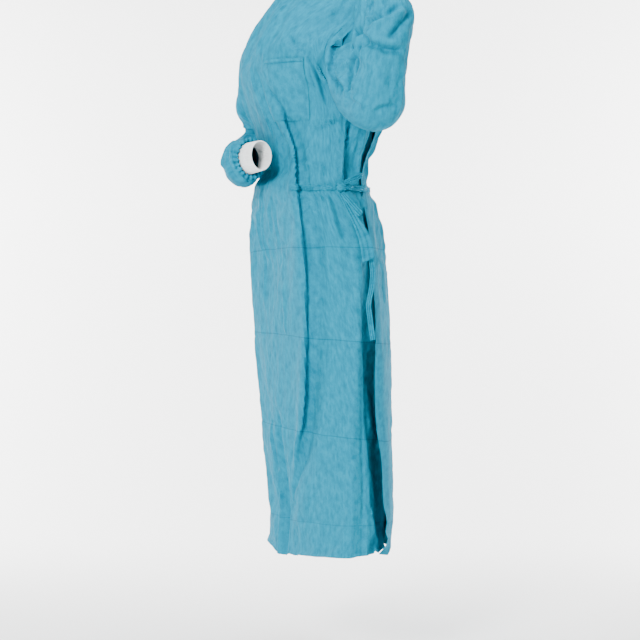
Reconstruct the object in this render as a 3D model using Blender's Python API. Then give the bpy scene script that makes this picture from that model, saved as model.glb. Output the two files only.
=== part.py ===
"""A long-sleeved isolation gown of thin nonwoven cloth, in its worn, hollow form.

The gown faces -Y, its left side is +X, and +Z is up. The origin lies between the shoulders, at the
height of the shoulder tips, where the gown hangs from. Every piece of cloth is a thin wall: a grid of
points on the cloth's outer side, and a second grid one wall's thickness further in.
"""

import math

import bpy
import numpy as np

# Cloth
WALL = 0.0016
CUFF_WALL = 0.0020
PATCH_WALL = 0.0012
SEAM_GAP = 0.0003
PATCH_GAP = 0.0020
LOOSE_LIFT = 0.0030
LAP_DEPTH = 0.0070
LAP_RAMP = 6.0

# Heights
HEM_Z = -1.2175
HEM_FRONT_DROP = 0.0160
HEM_BACK_RISE = 0.0080
NECK_FRONT_Z = 0.022
NECK_BACK_Z = 0.066
NECK_POINT_RISE = 0.008
SIDE_RING_TOP_Z = -0.300
MIDDLE_RING_TOP_Z = -0.150
FRONT_RING_TOP_ANGLE = 24.0
BACK_RING_TOP_ANGLE = 60.0

# Neck and armholes
NECK_HALF_WIDTH = 0.078
NECK_MIDDLE_Y = -0.025
NECK_FRONT_DEPTH = 0.080
NECK_BACK_DEPTH = 0.075
BINDING_WIDTH = 0.014
ARMHOLE_X = 0.188
ARMHOLE_Y = -0.020
ARMHOLE_LEAN = 0.012
ARMHOLE_Z = -0.130
ARMHOLE_HALF_HEIGHT = 0.130
ARMHOLE_HALF_DEPTH = 0.070
SLEEVE_SEAM_STEP = 0.0026
ARMHOLE_SPREAD = 0.6
TIP_RISE = 0.5
SEAM_PROBE = 2.0
# Slopes of the cloth where it reaches its upper edge, as parts of a whole of one
SHOULDER_RUN = 0.86
SHOULDER_CLIMB = 0.51
NECK_RUN = 0.50
NECK_CLIMB = 0.86
ARMHOLE_RUN = 0.80
BINDING_LEAN = 0.35
BINDING_LAP_TURN = 450.0
BINDING_LAP_SPAN = 30.0
LAP_HELD = 2.0
TIE_HOLD = 3.0
SMOOTH_EDGE_ANGLE = 50.0
CLOTH_ROUGHNESS = 0.62
KNIT_ROUGHNESS = 0.90

# Angles round the body, in degrees: 0 is the left side seam, 90 the middle of the back
FRONT_ARMHOLE_ANGLE = 38.0
FRONT_NECK_ANGLE = 62.0
BACK_ARMHOLE_ANGLE = 38.0
BACK_NECK_ANGLE = 64.0

# Grid steps
ARMHOLE_STEPS = 9
SHOULDER_STEPS = 5
FRONT_NECK_STEPS = 6
LEFT_BACK_NECK_STEPS = 4
RIGHT_BACK_NECK_STEPS = 6
RING_ROWS = 19
YOKE_ROWS = 6
SLEEVE_STEPS_PER_ROW = 2

# Level sections of the body, as two half superellipses joined at the side seams
# Columns: z, half_width, middle_y, front_depth, back_depth, front_square, back_square
SECTIONS = np.array([
    (-1.244, 0.252, -0.020, 0.100, 0.106, 2.5, 2.0),
    (-1.100, 0.248, -0.020, 0.098, 0.122, 2.6, 1.9),
    (-0.940, 0.242, -0.024, 0.109, 0.129, 2.7, 1.85),
    (-0.750, 0.232, -0.028, 0.117, 0.135, 2.7, 1.8),
    (-0.560, 0.218, -0.040, 0.116, 0.132, 2.7, 1.8),
    (-0.480, 0.203, -0.050, 0.114, 0.125, 2.6, 1.9),
    (-0.430, 0.190, -0.058, 0.107, 0.112, 2.5, 2.0),
    (-0.390, 0.183, -0.055, 0.096, 0.104, 2.5, 2.1),
    (-0.320, 0.183, -0.046, 0.113, 0.118, 2.5, 2.2),
    (-0.240, 0.188, -0.047, 0.140, 0.142, 2.5, 2.3),
    (-0.190, 0.190, -0.054, 0.148, 0.152, 2.5, 2.3),
    (-0.120, 0.190, -0.050, 0.144, 0.150, 2.5, 2.3),
])

# Angle of each back piece's free edge against height. Columns: z, right_back, left_back
FREE_EDGES = np.array([
    (-1.226, 2.5, 118.0),
    (-1.160, 12.5, 118.0),
    (-1.100, 9.2, 118.0),
    (-1.000, 8.8, 118.0),
    (-0.940, 6.8, 118.0),
    (-0.750, 8.0, 118.0),
    (-0.560, 15.0, 116.0),
    (-0.490, 16.0, 114.0),
    (-0.430, 18.5, 112.0),
    (-0.340, 26.0, 108.0),
    (-0.220, 43.0, 105.0),
    (0.066, 80.0, 100.0),
])

# Folds of the body. Columns: name, width in degrees, height out or in, path of (z, angle) downwards
BODY_FOLDS = [
    ("left front ridge", 5.0, 0.014,
     [(-0.19, -65), (-0.29, -50), (-0.38, -35), (-0.46, -30),
      (-0.77, -33), (-0.96, -41), (-1.09, -62)]),
    ("left front trough", 5.0, -0.012,
     [(-0.32, -37), (-0.46, -22), (-0.77, -24), (-0.98, -34), (-1.10, -54)]),
    ("left side ridge", 5.0, 0.010, [(-0.30, 0), (-0.59, 4), (-0.79, -3), (-1.01, -8), (-1.30, -12)]),
    ("left side trough", 4.5, -0.008, [(-0.56, 9), (-0.79, 2), (-1.01, -2), (-1.30, -5)]),
    ("lower front trough", 6.0, -0.012, [(-0.88, -82), (-1.05, -90), (-1.30, -92)]),
    ("lower front ridge", 5.0, 0.008, [(-0.92, -98), (-1.08, -104), (-1.30, -106)]),
    ("left chest drape", 6.0, -0.010, [(-0.16, -24), (-0.20, -17), (-0.25, -15), (-0.31, -8)]),
    ("right front ridge", 6.0, 0.012, [(-0.44, -144), (-0.60, -147), (-0.85, -150), (-1.20, -142)]),
    ("right front trough", 6.0, -0.010, [(-0.44, -155), (-0.60, -157), (-0.85, -162), (-1.15, -154)]),
    ("right forearm hollow", 16.0, -0.012, [(-0.22, -142), (-0.46, -136)]),
    ("right side ridge", 6.0, 0.008, [(-0.34, 180), (-0.70, 178), (-1.30, 184)]),
    ("back flute one", 7.0, -0.008, [(-0.26, 46), (-0.42, 52), (-0.54, 58)]),
    ("back flute two", 7.0, -0.008, [(-0.28, 66), (-0.42, 70), (-0.60, 76)]),
    ("back flute three", 7.0, -0.008, [(-0.26, 88), (-0.42, 90), (-0.56, 94)]),
    ("back flute four", 7.0, -0.008, [(-0.28, 112), (-0.42, 110), (-0.58, 112)]),
    ("back flute five", 6.0, -0.009, [(-0.27, 136), (-0.42, 132), (-0.60, 136)]),
    ("back flute six", 6.0, -0.008, [(-0.30, 158), (-0.42, 154), (-0.58, 157)]),
    ("skirt flute one", 8.0, 0.010, [(-0.55, 104), (-0.90, 102), (-1.30, 100)]),
    ("skirt flute two", 8.0, -0.010, [(-0.60, 124), (-0.90, 126), (-1.30, 128)]),
    ("skirt flute three", 8.0, 0.008, [(-0.58, 148), (-0.90, 150), (-1.30, 152)]),
]
INNER_FOLDS = [
    ("lap ease", 14.0, 0.0050, [(-0.26, 27), (-0.54, 27)]),
    ("left side recess", 8.0, -0.028, [(-0.44, 22), (-0.60, 17), (-0.75, 15), (-1.40, 15)]),
]
OUTER_FOLDS = [
    ("free edge flare", 9.0, 0.006, [(-0.44, 20), (-0.60, 14), (-0.75, 9), (-1.40, 8)]),
    ("turned corner", 8.0, 0.012, [(-1.13, 3), (-1.40, 3)]),
]
FOLD_FADE = 0.10

# Sleeve sections along the arm, with their centre and their reach on four sides.
# Columns: x, y, z, upper, under, fore, aft
LEFT_SLEEVE = np.array([
    (0.222, -0.030, -0.145, 0.112, 0.116, 0.074, 0.074),
    (0.268, -0.038, -0.190, 0.082, 0.094, 0.072, 0.072),
    (0.321, -0.044, -0.239, 0.060, 0.080, 0.068, 0.066),
    (0.371, -0.045, -0.262, 0.044, 0.065, 0.062, 0.058),
    (0.412, -0.048, -0.223, 0.036, 0.046, 0.058, 0.052),
    (0.428, -0.046, -0.167, 0.048, 0.047, 0.056, 0.050),
    (0.411, -0.036, -0.113, 0.050, 0.059, 0.052, 0.052),
    (0.376, -0.031, -0.070, 0.038, 0.036, 0.038, 0.038),
])
RIGHT_SLEEVE = np.array([
    (-0.206, -0.028, -0.138, 0.118, 0.119, 0.074, 0.074),
    (-0.256, -0.062, -0.196, 0.124, 0.067, 0.077, 0.062),
    (-0.262, -0.095, -0.285, 0.037, 0.051, 0.050, 0.028),
    (-0.226, -0.137, -0.320, 0.031, 0.054, 0.028, 0.034),
    (-0.142, -0.180, -0.351, 0.040, 0.054, 0.032, 0.031),
    (-0.062, -0.202, -0.362, 0.048, 0.056, 0.036, 0.033),
    (0.010, -0.216, -0.373, 0.052, 0.053, 0.044, 0.045),
    (0.038, -0.212, -0.372, 0.046, 0.046, 0.040, 0.038),
])
SLEEVE_TURN_ROWS = 5.0
# The gathered end turns back inwards to the cuff's seam. Columns: along, shrink
SLEEVE_RIM = np.array([(0.006, 0.0035), (0.004, 0.0085), (-0.006, 0.0110)])
CUFF_LENGTH = 0.060
CUFF_TAPER = 0.002

# Waist ties
TIE_Z = -0.4415
TIE_HALF_WIDTH = 0.0060
TIE_WALL = 0.0022
TIE_RIGHT_GAP = 0.0028
TIE_LEFT_ANGLE = -33.0
KNOT_ANGLE = -1.8
KNOT_RADII = (0.0085, 0.0105, 0.0100)
KNOT_STANDS_OUT = 0.0100
KNOT_STEPS = 10
TIE_TO_KNOT = 3.8
LAP_STEP = 3.0

# Bow pieces. A path lists (z, angle, how far out from the body's line, half width)
RIBBONS = [
    ("loop_up", 0.0012, [
        (-0.4333, -0.4, 0.0260, 0.0040), (-0.4278, 2.8, 0.0290, 0.0055), (-0.4200, 7.6, 0.0295, 0.0060),
        (-0.4146, 11.3, 0.0274, 0.0060), (-0.4138, 12.3, 0.0240, 0.0060), (-0.4156, 11.0, 0.0208, 0.0060),
        (-0.4245, 5.6, 0.0185, 0.0055), (-0.4325, 0.4, 0.0180, 0.0040)]),
    ("loop_down", 0.0012, [
        (-0.4540, -3.6, 0.0350, 0.0040), (-0.4672, -2.0, 0.0385, 0.0060), (-0.4830, 0.4, 0.0395, 0.0066),
        (-0.4964, 3.1, 0.0375, 0.0066), (-0.5000, 4.0, 0.0325, 0.0066), (-0.4948, 3.4, 0.0280, 0.0066),
        (-0.4738, -0.1, 0.0270, 0.0060), (-0.4550, -2.9, 0.0268, 0.0040)]),
    ("tail_short", 0.0016, [
        (-0.4545, -3.4, 0.0210, 0.0045), (-0.4779, -1.7, 0.0215, 0.0060), (-0.5138, 1.8, 0.0215, 0.0095),
        (-0.5514, 5.0, 0.0215, 0.0140), (-0.5960, 5.6, 0.0220, 0.0155)]),
    ("tail_long", 0.0016, [
        (-0.4545, -3.2, 0.0165, 0.0045), (-0.4839, -0.3, 0.0165, 0.0060), (-0.5426, 6.4, 0.0165, 0.0068),
        (-0.6039, 8.4, 0.0165, 0.0068), (-0.6420, 7.3, 0.0165, 0.0068), (-0.6886, 3.8, 0.0165, 0.0065),
        (-0.7180, 4.0, 0.0168, 0.0065), (-0.7643, 4.9, 0.0175, 0.0065)]),
]
RIBBON_STEPS = 2

# Chest pocket: its side edges' angles and its edges' heights on the front panel
POCKET_INNER = -56.0
POCKET_OUTER = -25.0
POCKET_TOP_Z = -0.167
POCKET_FOOT_Z = -0.295

CLOTH_COLOUR = (0.050, 0.330, 0.450)
KNIT_COLOUR = (0.780, 0.800, 0.800)


def smooth(value):
    """0 below 0, 1 above 1, and an even ramp between."""
    t = np.clip(value, 0.0, 1.0)
    return t * t * (3.0 - 2.0 * t)


def unit(vectors):
    """Vectors of length one."""
    return vectors / np.maximum(np.linalg.norm(vectors, axis=-1, keepdims=True), 1e-12)


def curve_through(table, at):
    """A smooth curve through a table's rows, whose first column is the parameter."""
    x = table[:, 0]
    slopes = np.gradient(table[:, 1:], x, axis=0)
    at = np.clip(at, x[0], x[-1])
    k = int(np.clip(np.searchsorted(x, at) - 1, 0, len(x) - 2))
    h = x[k + 1] - x[k]
    t = (at - x[k]) / h
    low, high = table[k, 1:], table[k + 1, 1:]
    return (
        (2 * t**3 - 3 * t**2 + 1) * low
        + (t**3 - 2 * t**2 + t) * h * slopes[k]
        + (3 * t**2 - 2 * t**3) * high
        + (t**3 - t**2) * h * slopes[k + 1]
    )


def turn(angle):
    """An angle brought into -180 to 180 degrees."""
    return (angle + 180.0) % 360.0 - 180.0


def fold_height(folds, angle, z):
    """How far the folds move the cloth out at one place of the body."""
    total = 0.0
    for _, width, height, path in folds:
        levels = np.array([step[0] for step in path][::-1], float)
        angles = np.array([step[1] for step in path][::-1], float)
        if not levels[0] <= z <= levels[-1]:
            continue
        across = turn(angle - np.interp(z, levels, angles)) / width
        ends = smooth((levels[-1] - z) / FOLD_FADE) * smooth((z - levels[0]) / FOLD_FADE)
        total += height * ends * math.exp(-across * across)
    return total


def plain_point(angle, z):
    """The body's line at one angle of one level section, without folds."""
    half_width, middle_y, front, back, front_square, back_square = curve_through(SECTIONS, z)
    c, s = math.cos(math.radians(angle)), math.sin(math.radians(angle))
    depth, power = (back, back_square) if s > 0 else (front, front_square)
    reach = (abs(c / half_width) ** power + abs(s / depth) ** power) ** (-1.0 / power)
    return np.array([reach * c, middle_y + reach * s, z])


def radial(angle):
    """The way out of the body at an angle."""
    return np.array([math.cos(math.radians(angle)), math.sin(math.radians(angle)), 0.0])


def ring_point(angle, z, extra_folds=()):
    """The cloth's outer side at one angle of one level section."""
    out = fold_height(BODY_FOLDS, angle, z) + fold_height(extra_folds, angle, z)
    return plain_point(angle, z) + radial(angle) * out


def armhole(side, turned):
    """A point of an armhole's edge. turned is 0 at the shoulder tip and 90 at the front."""
    c, s = math.cos(math.radians(turned)), math.sin(math.radians(turned))
    return np.array([
        side * ARMHOLE_X,
        ARMHOLE_Y + ARMHOLE_LEAN * c - ARMHOLE_HALF_DEPTH * s,
        ARMHOLE_Z + ARMHOLE_HALF_HEIGHT * c,
    ])


def neck(turned):
    """A point of the neck's edge. turned is 0 at the front, 90 at the left and 180 at the back."""
    c, s = math.cos(math.radians(turned)), math.sin(math.radians(turned))
    depth = NECK_FRONT_DEPTH if c > 0 else NECK_BACK_DEPTH
    rise = (NECK_BACK_Z - NECK_FRONT_Z) * (1.0 - c) / 2.0
    return np.array([
        NECK_HALF_WIDTH * s,
        NECK_MIDDLE_Y - depth * c,
        NECK_FRONT_Z + rise + NECK_POINT_RISE * s * s,
    ])


def top_edge(angle):
    """The panel's upper edge at an angle, and the way that the cloth runs there."""
    front = angle < 0
    side = 1.0 if abs(angle) <= 90.0 else -1.0
    from_side = abs(angle) if side > 0 else 180.0 - abs(angle)
    toward = 1.0 if front else -1.0
    arm_end, neck_start = (
        (FRONT_ARMHOLE_ANGLE, FRONT_NECK_ANGLE) if front else (BACK_ARMHOLE_ANGLE, BACK_NECK_ANGLE)
    )
    over = np.array([0.0, SHOULDER_RUN * toward, SHOULDER_CLIMB])
    if from_side <= arm_end:
        turned = 180.0 * (1.0 - from_side / arm_end)
        point = armhole(side, turned if front else -turned)
        across = ARMHOLE_RUN * (1.0 if turned < 90.0 else math.sin(math.radians(turned)))
        rising = max(-math.cos(math.radians(turned)), 0.0)
        outward_way = ARMHOLE_SPREAD * float(smooth((180.0 - turned) / 90.0))
        lean = float(smooth(1.0 - turned / 90.0))
        return point, unit(np.array([side * outward_way, toward * across, rising + TIP_RISE * lean]))
    tip = armhole(side, 0.0)
    neck_turn = 90.0 if side > 0 else 270.0
    if from_side <= neck_start:
        t = (from_side - arm_end) / (neck_start - arm_end)
        spread = side * ARMHOLE_SPREAD * (1.0 - t) ** 2
        return tip + (neck(neck_turn) - tip) * t, unit(over + np.array([spread, 0.0, 0.0]))
    t = (from_side - neck_start) / (90.0 - neck_start)
    middle_turn = (0.0 if side > 0 else 360.0) if front else 180.0
    at_middle = np.array([0.0, NECK_RUN * toward, NECK_CLIMB])
    return neck(neck_turn + (middle_turn - neck_turn) * t), unit(over * (1 - t) + at_middle * t)


def ring_top(angle):
    """The height where a line up the cloth leaves the level sections."""
    from_side = min(abs(angle), 180.0 - abs(angle))
    reach = FRONT_RING_TOP_ANGLE if angle < 0 else BACK_RING_TOP_ANGLE
    return SIDE_RING_TOP_Z + (MIDDLE_RING_TOP_Z - SIDE_RING_TOP_Z) * float(smooth(from_side / reach))


def hem_z(angle):
    """The hem's height, a little lower at the front than at the back."""
    s = math.sin(math.radians(angle))
    return HEM_Z + s * (HEM_FRONT_DROP if s < 0 else HEM_BACK_RISE)


def body_point(angle, row, extra_folds=()):
    """A point of the body's cloth. row counts up from the hem, and the last one is the top edge."""
    top = ring_top(angle)
    if row <= RING_ROWS:
        low = hem_z(angle)
        return ring_point(angle, low + (top - low) * row / RING_ROWS, extra_folds)
    t = (row - RING_ROWS) / YOKE_ROWS
    start = ring_point(angle, top, extra_folds)
    step = 0.01
    rising = (start - ring_point(angle, top - step, extra_folds)) / step
    end, way = top_edge(angle)
    long = np.linalg.norm(end - start)
    return (
        (2 * t**3 - 3 * t**2 + 1) * start
        + (t**3 - 2 * t**2 + t) * long * unit(rising)
        + (3 * t**2 - 2 * t**3) * end
        + (t**3 - t**2) * long * way
    )


def row_height(row):
    """A row's usual height, which places the free edges."""
    return HEM_Z + (NECK_BACK_Z - HEM_Z) * row / (RING_ROWS + YOKE_ROWS)


def steps(stops, counts):
    """Values from stop to stop, with a count of equal steps between each two."""
    values = [stops[0]]
    for low, high, count in zip(stops, stops[1:], counts):
        values += [low + (high - low) * (k + 1) / count for k in range(count)]
    return values


def grid_normals(grid, closed):
    """Normals of a grid of points, rows first."""
    if closed:
        padded = np.concatenate([grid[:, -1:], grid, grid[:, :1]], axis=1)
        along = (padded[:, 2:] - padded[:, :-2]) / 2.0
    else:
        along = np.gradient(grid, axis=1)
    up = np.gradient(grid, axis=0)
    return unit(np.cross(along, up))


def wall_mesh(outer, inner, closed):
    """Vertices and triangles of the wall between two grids. Both sides share their diagonals."""
    rows, columns = outer.shape[:2]
    vertices = np.concatenate([outer.reshape(-1, 3), inner.reshape(-1, 3)])
    back = rows * columns
    faces = []
    spans = columns if closed else columns - 1
    for j in range(rows - 1):
        for i in range(spans):
            a, b = j * columns + i, j * columns + (i + 1) % columns
            c, d = b + columns, a + columns
            faces += [(a, b, c), (a, c, d)]
            faces += [(a + back, c + back, b + back), (a + back, d + back, c + back)]

    def rim(line, other_diagonal=False):
        for a, b in zip(line, line[1:]):
            if other_diagonal:
                faces.extend([(a, a + back, b), (a + back, b + back, b)])
            else:
                faces.extend([(a, a + back, b + back), (a, b + back, b)])

    lowest = [i % columns for i in range(spans + 1)]
    highest = [(rows - 1) * columns + i % columns for i in range(spans + 1)]
    rim(lowest)
    rim(highest[::-1])
    if not closed:
        rim([(rows - 1 - j) * columns for j in range(rows)], other_diagonal=True)
        rim([j * columns + columns - 1 for j in range(rows)])
    return vertices, faces


def material(name, colour, roughness):
    """A plain Principled material."""
    made = bpy.data.materials.new(name)
    made.use_nodes = True
    shader = made.node_tree.nodes["Principled BSDF"]
    shader.inputs["Base Color"].default_value = (*colour, 1.0)
    shader.inputs["Roughness"].default_value = roughness
    shader.inputs["Metallic"].default_value = 0.0
    return made


def add_wall(name, outer, wall, finish, closed=False, normals=None):
    """One piece of cloth from its outer grid."""
    normals = grid_normals(outer, closed) if normals is None else normals
    inner = outer - normals * wall
    vertices, faces = wall_mesh(outer, inner, closed)
    mesh = bpy.data.meshes.new(name)
    mesh.from_pydata(vertices.tolist(), [], faces)
    mesh.validate()
    mesh.shade_smooth()
    mesh.set_sharp_from_angle(angle=math.radians(SMOOTH_EDGE_ANGLE))
    piece = bpy.data.objects.new(name, mesh)
    piece.data.materials.append(finish)
    bpy.context.scene.collection.objects.link(piece)
    return piece


def panel_grid(angles_of_row, extra_folds=()):
    """A body panel's outer grid, from the angles of each row's points."""
    rows = range(RING_ROWS + YOKE_ROWS + 1)
    return np.array([[body_point(a, row, extra_folds) for a in angles_of_row(row)] for row in rows])


def side_normal(angle, row):
    """The cloth's normal on a side seam, which the panels on both sides of it share."""
    ahead = body_point(turn(angle + SEAM_PROBE), row)
    behind = body_point(angle - SEAM_PROBE, row)
    low, high = max(row - 1, 0), min(row + 1, RING_ROWS + YOKE_ROWS)
    up = body_point(angle, high) - body_point(angle, low)
    return unit(np.cross(ahead - behind, up))


def panel_normals(grid, shoulder_columns, sides):
    """Normals of a body panel. Along its shoulder and side seams they are those of both panels.

    sides gives the angles of the side seams at the panel's first and last column, or None.
    """
    normals = grid_normals(grid, False)
    for column, angle in zip((0, -1), sides):
        if angle is not None:
            for row in range(grid.shape[0]):
                normals[row, column] = side_normal(angle, row)
    for columns in shoulder_columns:
        along = unit(grid[-1, columns[-1]] - grid[-1, columns[0]])
        upright = np.array([0.0, 0.0, 1.0])
        for i in columns:
            normals[-1, i] = unit(upright - along * (upright @ along))
    return normals


def seam_trim(grid, at_start, at_end):
    """A panel's grid with its side edges drawn back by half a seam's gap."""
    trimmed = grid.copy()
    if at_start:
        trimmed[:, 0] += unit(grid[:, 1] - grid[:, 0]) * SEAM_GAP / 2.0
    if at_end:
        trimmed[:, -1] += unit(grid[:, -2] - grid[:, -1]) * SEAM_GAP / 2.0
    return trimmed


def shoulder_trim(grid, shoulder_columns, toward):
    """A panel's grid with its shoulder edges drawn back from the seam."""
    trimmed = grid.copy()
    for columns in shoulder_columns:
        for i in columns:
            trimmed[-1, i, 1] += toward * SEAM_GAP
    return trimmed


def front_angles():
    """Angles of the front panel's columns, from the right side seam to the left one."""
    stops = [0.0, FRONT_ARMHOLE_ANGLE, FRONT_NECK_ANGLE, 90.0]
    half = steps(stops, [ARMHOLE_STEPS, SHOULDER_STEPS, FRONT_NECK_STEPS])
    return [-180.0 + a for a in half] + [-a for a in half[::-1][1:]]


def shoulder_span(start):
    """Columns of a shoulder seam that begins at one column."""
    return list(range(start, start + SHOULDER_STEPS + 1))


def front_grid():
    """The front panel's outer grid."""
    angles = front_angles()
    return panel_grid(lambda row: angles)


def front_shoulders():
    """The two runs of columns that lie on the front panel's shoulder seams."""
    right = shoulder_span(ARMHOLE_STEPS)
    left = shoulder_span(len(front_angles()) - 1 - ARMHOLE_STEPS - SHOULDER_STEPS)
    return [right, left]


def free_edge(row):
    """Angles of the right and the left back piece's free edges on one row."""
    return [float(a) for a in curve_through(FREE_EDGES, row_height(row))]


def left_back_top_angles():
    """Angles of the left back's columns on its top edge, from the side seam to the free edge."""
    end = free_edge(RING_ROWS + YOKE_ROWS)[1]
    stops = [0.0, BACK_ARMHOLE_ANGLE, BACK_NECK_ANGLE, end]
    return steps(stops, [ARMHOLE_STEPS, SHOULDER_STEPS, LEFT_BACK_NECK_STEPS])


def right_back_top_angles():
    """Angles of the right back's columns on its top edge, from the free edge to the side seam."""
    end = free_edge(RING_ROWS + YOKE_ROWS)[0]
    stops = [end, 180.0 - BACK_NECK_ANGLE, 180.0 - BACK_ARMHOLE_ANGLE, 180.0]
    return steps(stops, [RIGHT_BACK_NECK_STEPS, SHOULDER_STEPS, ARMHOLE_STEPS])


def left_back_angles(row):
    """Angles of the left back's columns on any row."""
    top = left_back_top_angles()
    scale = free_edge(row)[1] / top[-1]
    return [a * scale for a in top]


def right_back_angles(row):
    """Angles of the right back's columns on any row."""
    top = right_back_top_angles()
    scale = (180.0 - free_edge(row)[0]) / (180.0 - top[0])
    return [180.0 - (180.0 - a) * scale for a in top]


def tucked(grid):
    """The left back's grid, moved in where the right back laps over it."""
    normals = grid_normals(grid, False)
    moved = grid.copy()
    for row in range(grid.shape[0]):
        lap_start = max(free_edge(row)[0] - LAP_RAMP, 0.0)
        for i, angle in enumerate(left_back_angles(row)):
            share = float(smooth((angle - lap_start) / (LAP_RAMP - LAP_HELD)))
            moved[row, i] -= normals[row, i] * LAP_DEPTH * share
    return moved


def back_shoulder_left():
    """Columns of the left back's shoulder seam."""
    return [shoulder_span(ARMHOLE_STEPS)]


def back_shoulder_right():
    """Columns of the right back's shoulder seam."""
    return [shoulder_span(RIGHT_BACK_NECK_STEPS)]


def make_body(cloth):
    """The front panel and the two lapped back pieces."""
    front = shoulder_trim(seam_trim(front_grid(), True, True), front_shoulders(), -1.0)
    normals = panel_normals(front, front_shoulders(), (180.0, 0.0))
    add_wall("front_panel", front, WALL, cloth, normals=normals)
    left = tucked(panel_grid(left_back_angles, INNER_FOLDS))
    left = shoulder_trim(seam_trim(left, True, False), back_shoulder_left(), 1.0)
    normals = panel_normals(left, back_shoulder_left(), (0.0, None))
    add_wall("left_back", left, WALL, cloth, normals=normals)
    right = panel_grid(right_back_angles, OUTER_FOLDS)
    right = shoulder_trim(seam_trim(right, False, True), back_shoulder_right(), 1.0)
    normals = panel_normals(right, back_shoulder_right(), (None, 180.0))
    add_wall("right_back", right, WALL, cloth, normals=normals)
    return front, right


def armhole_turns():
    """Turns of the points round an armhole, from its foot by the front to the tip and the back."""
    front = steps([180.0, 0.0], [ARMHOLE_STEPS])
    back = steps([0.0, -180.0], [ARMHOLE_STEPS])
    return front + back[1:-1]


def smooth_rows(table, per_row):
    """A table's rows with more rows between them, on a smooth curve."""
    keyed = np.column_stack([np.arange(len(table)), table])
    count = (len(table) - 1) * per_row
    return np.array([curve_through(keyed, k / per_row) for k in range(count + 1)])


def section(centre, upper, ahead, reaches, shrink):
    """One ring of a sleeve, which has its own reach on each of its four sides."""
    above, below, fore, aft = reaches - shrink
    turns = np.radians(armhole_turns())
    high = np.cos(turns) * np.where(np.cos(turns) > 0, above, below)
    deep = np.sin(turns) * np.where(np.sin(turns) > 0, fore, aft)
    return centre + np.outer(high, upper) + np.outer(deep, ahead)


def sleeve_grid(side, table):
    """A sleeve's outer grid, from the armhole to the seam of the cuff."""
    turns = np.radians(armhole_turns())
    start = np.array([armhole(side, math.degrees(t)) for t in turns])
    start[:, 0] += side * SLEEVE_SEAM_STEP
    rows = smooth_rows(table, SLEEVE_STEPS_PER_ROW)
    centres = rows[:, :3]
    out = np.array([side, 0.0, 0.0])
    turned = smooth((np.arange(len(rows)) + 0.5) / SLEEVE_TURN_ROWS)[:, None]
    tangents = unit(out * (1.0 - turned) + unit(np.gradient(centres, axis=0)) * turned)
    upper = np.array([0.0, 0.0, 1.0])
    rings = [start]
    for centre, tangent, reaches in zip(centres, tangents, rows[:, 3:]):
        upper = np.array([0.0, 0.0, 1.0]) if side < 0 else upper
        upper = unit(upper - tangent * (upper @ tangent))
        ahead = unit(np.cross(tangent, upper)) * side
        rings.append(section(centre, upper, ahead, reaches, 0.0))
    end = (centre, tangent, upper, ahead, reaches)
    for along, shrink in SLEEVE_RIM:
        rings.append(section(centre + tangent * along, upper, ahead, reaches, shrink))
    return np.array(rings), end


def cuff_grid(end):
    """A cuff's outer grid, from its seam to its mouth."""
    centre, tangent, upper, ahead, reaches = end
    seam_along, seam_shrink = SLEEVE_RIM[-1]
    rings = []
    for t in (0.0, 0.5, 1.0):
        along = seam_along - SEAM_GAP - WALL + CUFF_LENGTH * t
        shrink = seam_shrink + WALL + SEAM_GAP + CUFF_TAPER * t
        rings.append(section(centre + tangent * along, upper, ahead, reaches, shrink))
    return np.array(rings)


def outward(grid):
    """A closed grid whose normals face away from its rings' centres."""
    normals = grid_normals(grid, True)
    middle = grid.mean(axis=1, keepdims=True)
    facing = ((grid - middle) * normals).sum()
    return grid if facing > 0 else grid[:, ::-1]


def make_sleeves(cloth, knit):
    """Both sleeves and their cuffs."""
    for name, side, table in (("left", 1.0, LEFT_SLEEVE), ("right", -1.0, RIGHT_SLEEVE)):
        grid, end = sleeve_grid(side, table)
        add_wall(f"{name}_sleeve", outward(grid), WALL, cloth, closed=True)
        add_wall(f"{name}_cuff", outward(cuff_grid(end)), CUFF_WALL, knit, closed=True)


def neck_turn(angle):
    """The neck's turn that belongs to a back angle."""
    return 90.0 + (angle - BACK_NECK_ANGLE) / (90.0 - BACK_NECK_ANGLE) * 90.0


def binding_columns():
    """Turns of the binding's points, from the right back's edge round the front to the left back's."""
    right = [neck_turn(a) for a in right_back_top_angles()[: RIGHT_BACK_NECK_STEPS + 1]]
    front = [270.0 + 180.0 * k / (2 * FRONT_NECK_STEPS) for k in range(2 * FRONT_NECK_STEPS + 1)]
    left_from = ARMHOLE_STEPS + SHOULDER_STEPS
    left = [360.0 + neck_turn(a) for a in left_back_top_angles()[left_from:]]
    return right + front[1:] + left[1:]


def make_binding(cloth):
    """The strip that stands on the neck's edge and laps at the back."""
    turns = binding_columns()
    edge = np.array([neck(t) for t in turns])
    middle = np.array([0.0, NECK_MIDDLE_Y, 0.0])
    away = unit((edge - middle) * np.array([1.0, 1.0, 0.0]))
    inward = LAP_DEPTH * smooth((np.array(turns) - BINDING_LAP_TURN) / BINDING_LAP_SPAN)
    edge = edge - away * inward[:, None]
    rise = unit(np.array([0.0, 0.0, 1.0]) - away * BINDING_LEAN)
    foot = edge + rise * (SEAM_GAP * 2.0)
    grid = np.array([foot, foot + rise * BINDING_WIDTH / 2.0, foot + rise * BINDING_WIDTH])
    add_wall("neck_binding", grid, WALL, cloth)


def levels_between(low, high, stops):
    """The two ends and the stops between them, upwards."""
    return [low] + [v for v in sorted(stops) if low + 1e-4 < v < high - 1e-4] + [high]


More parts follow.
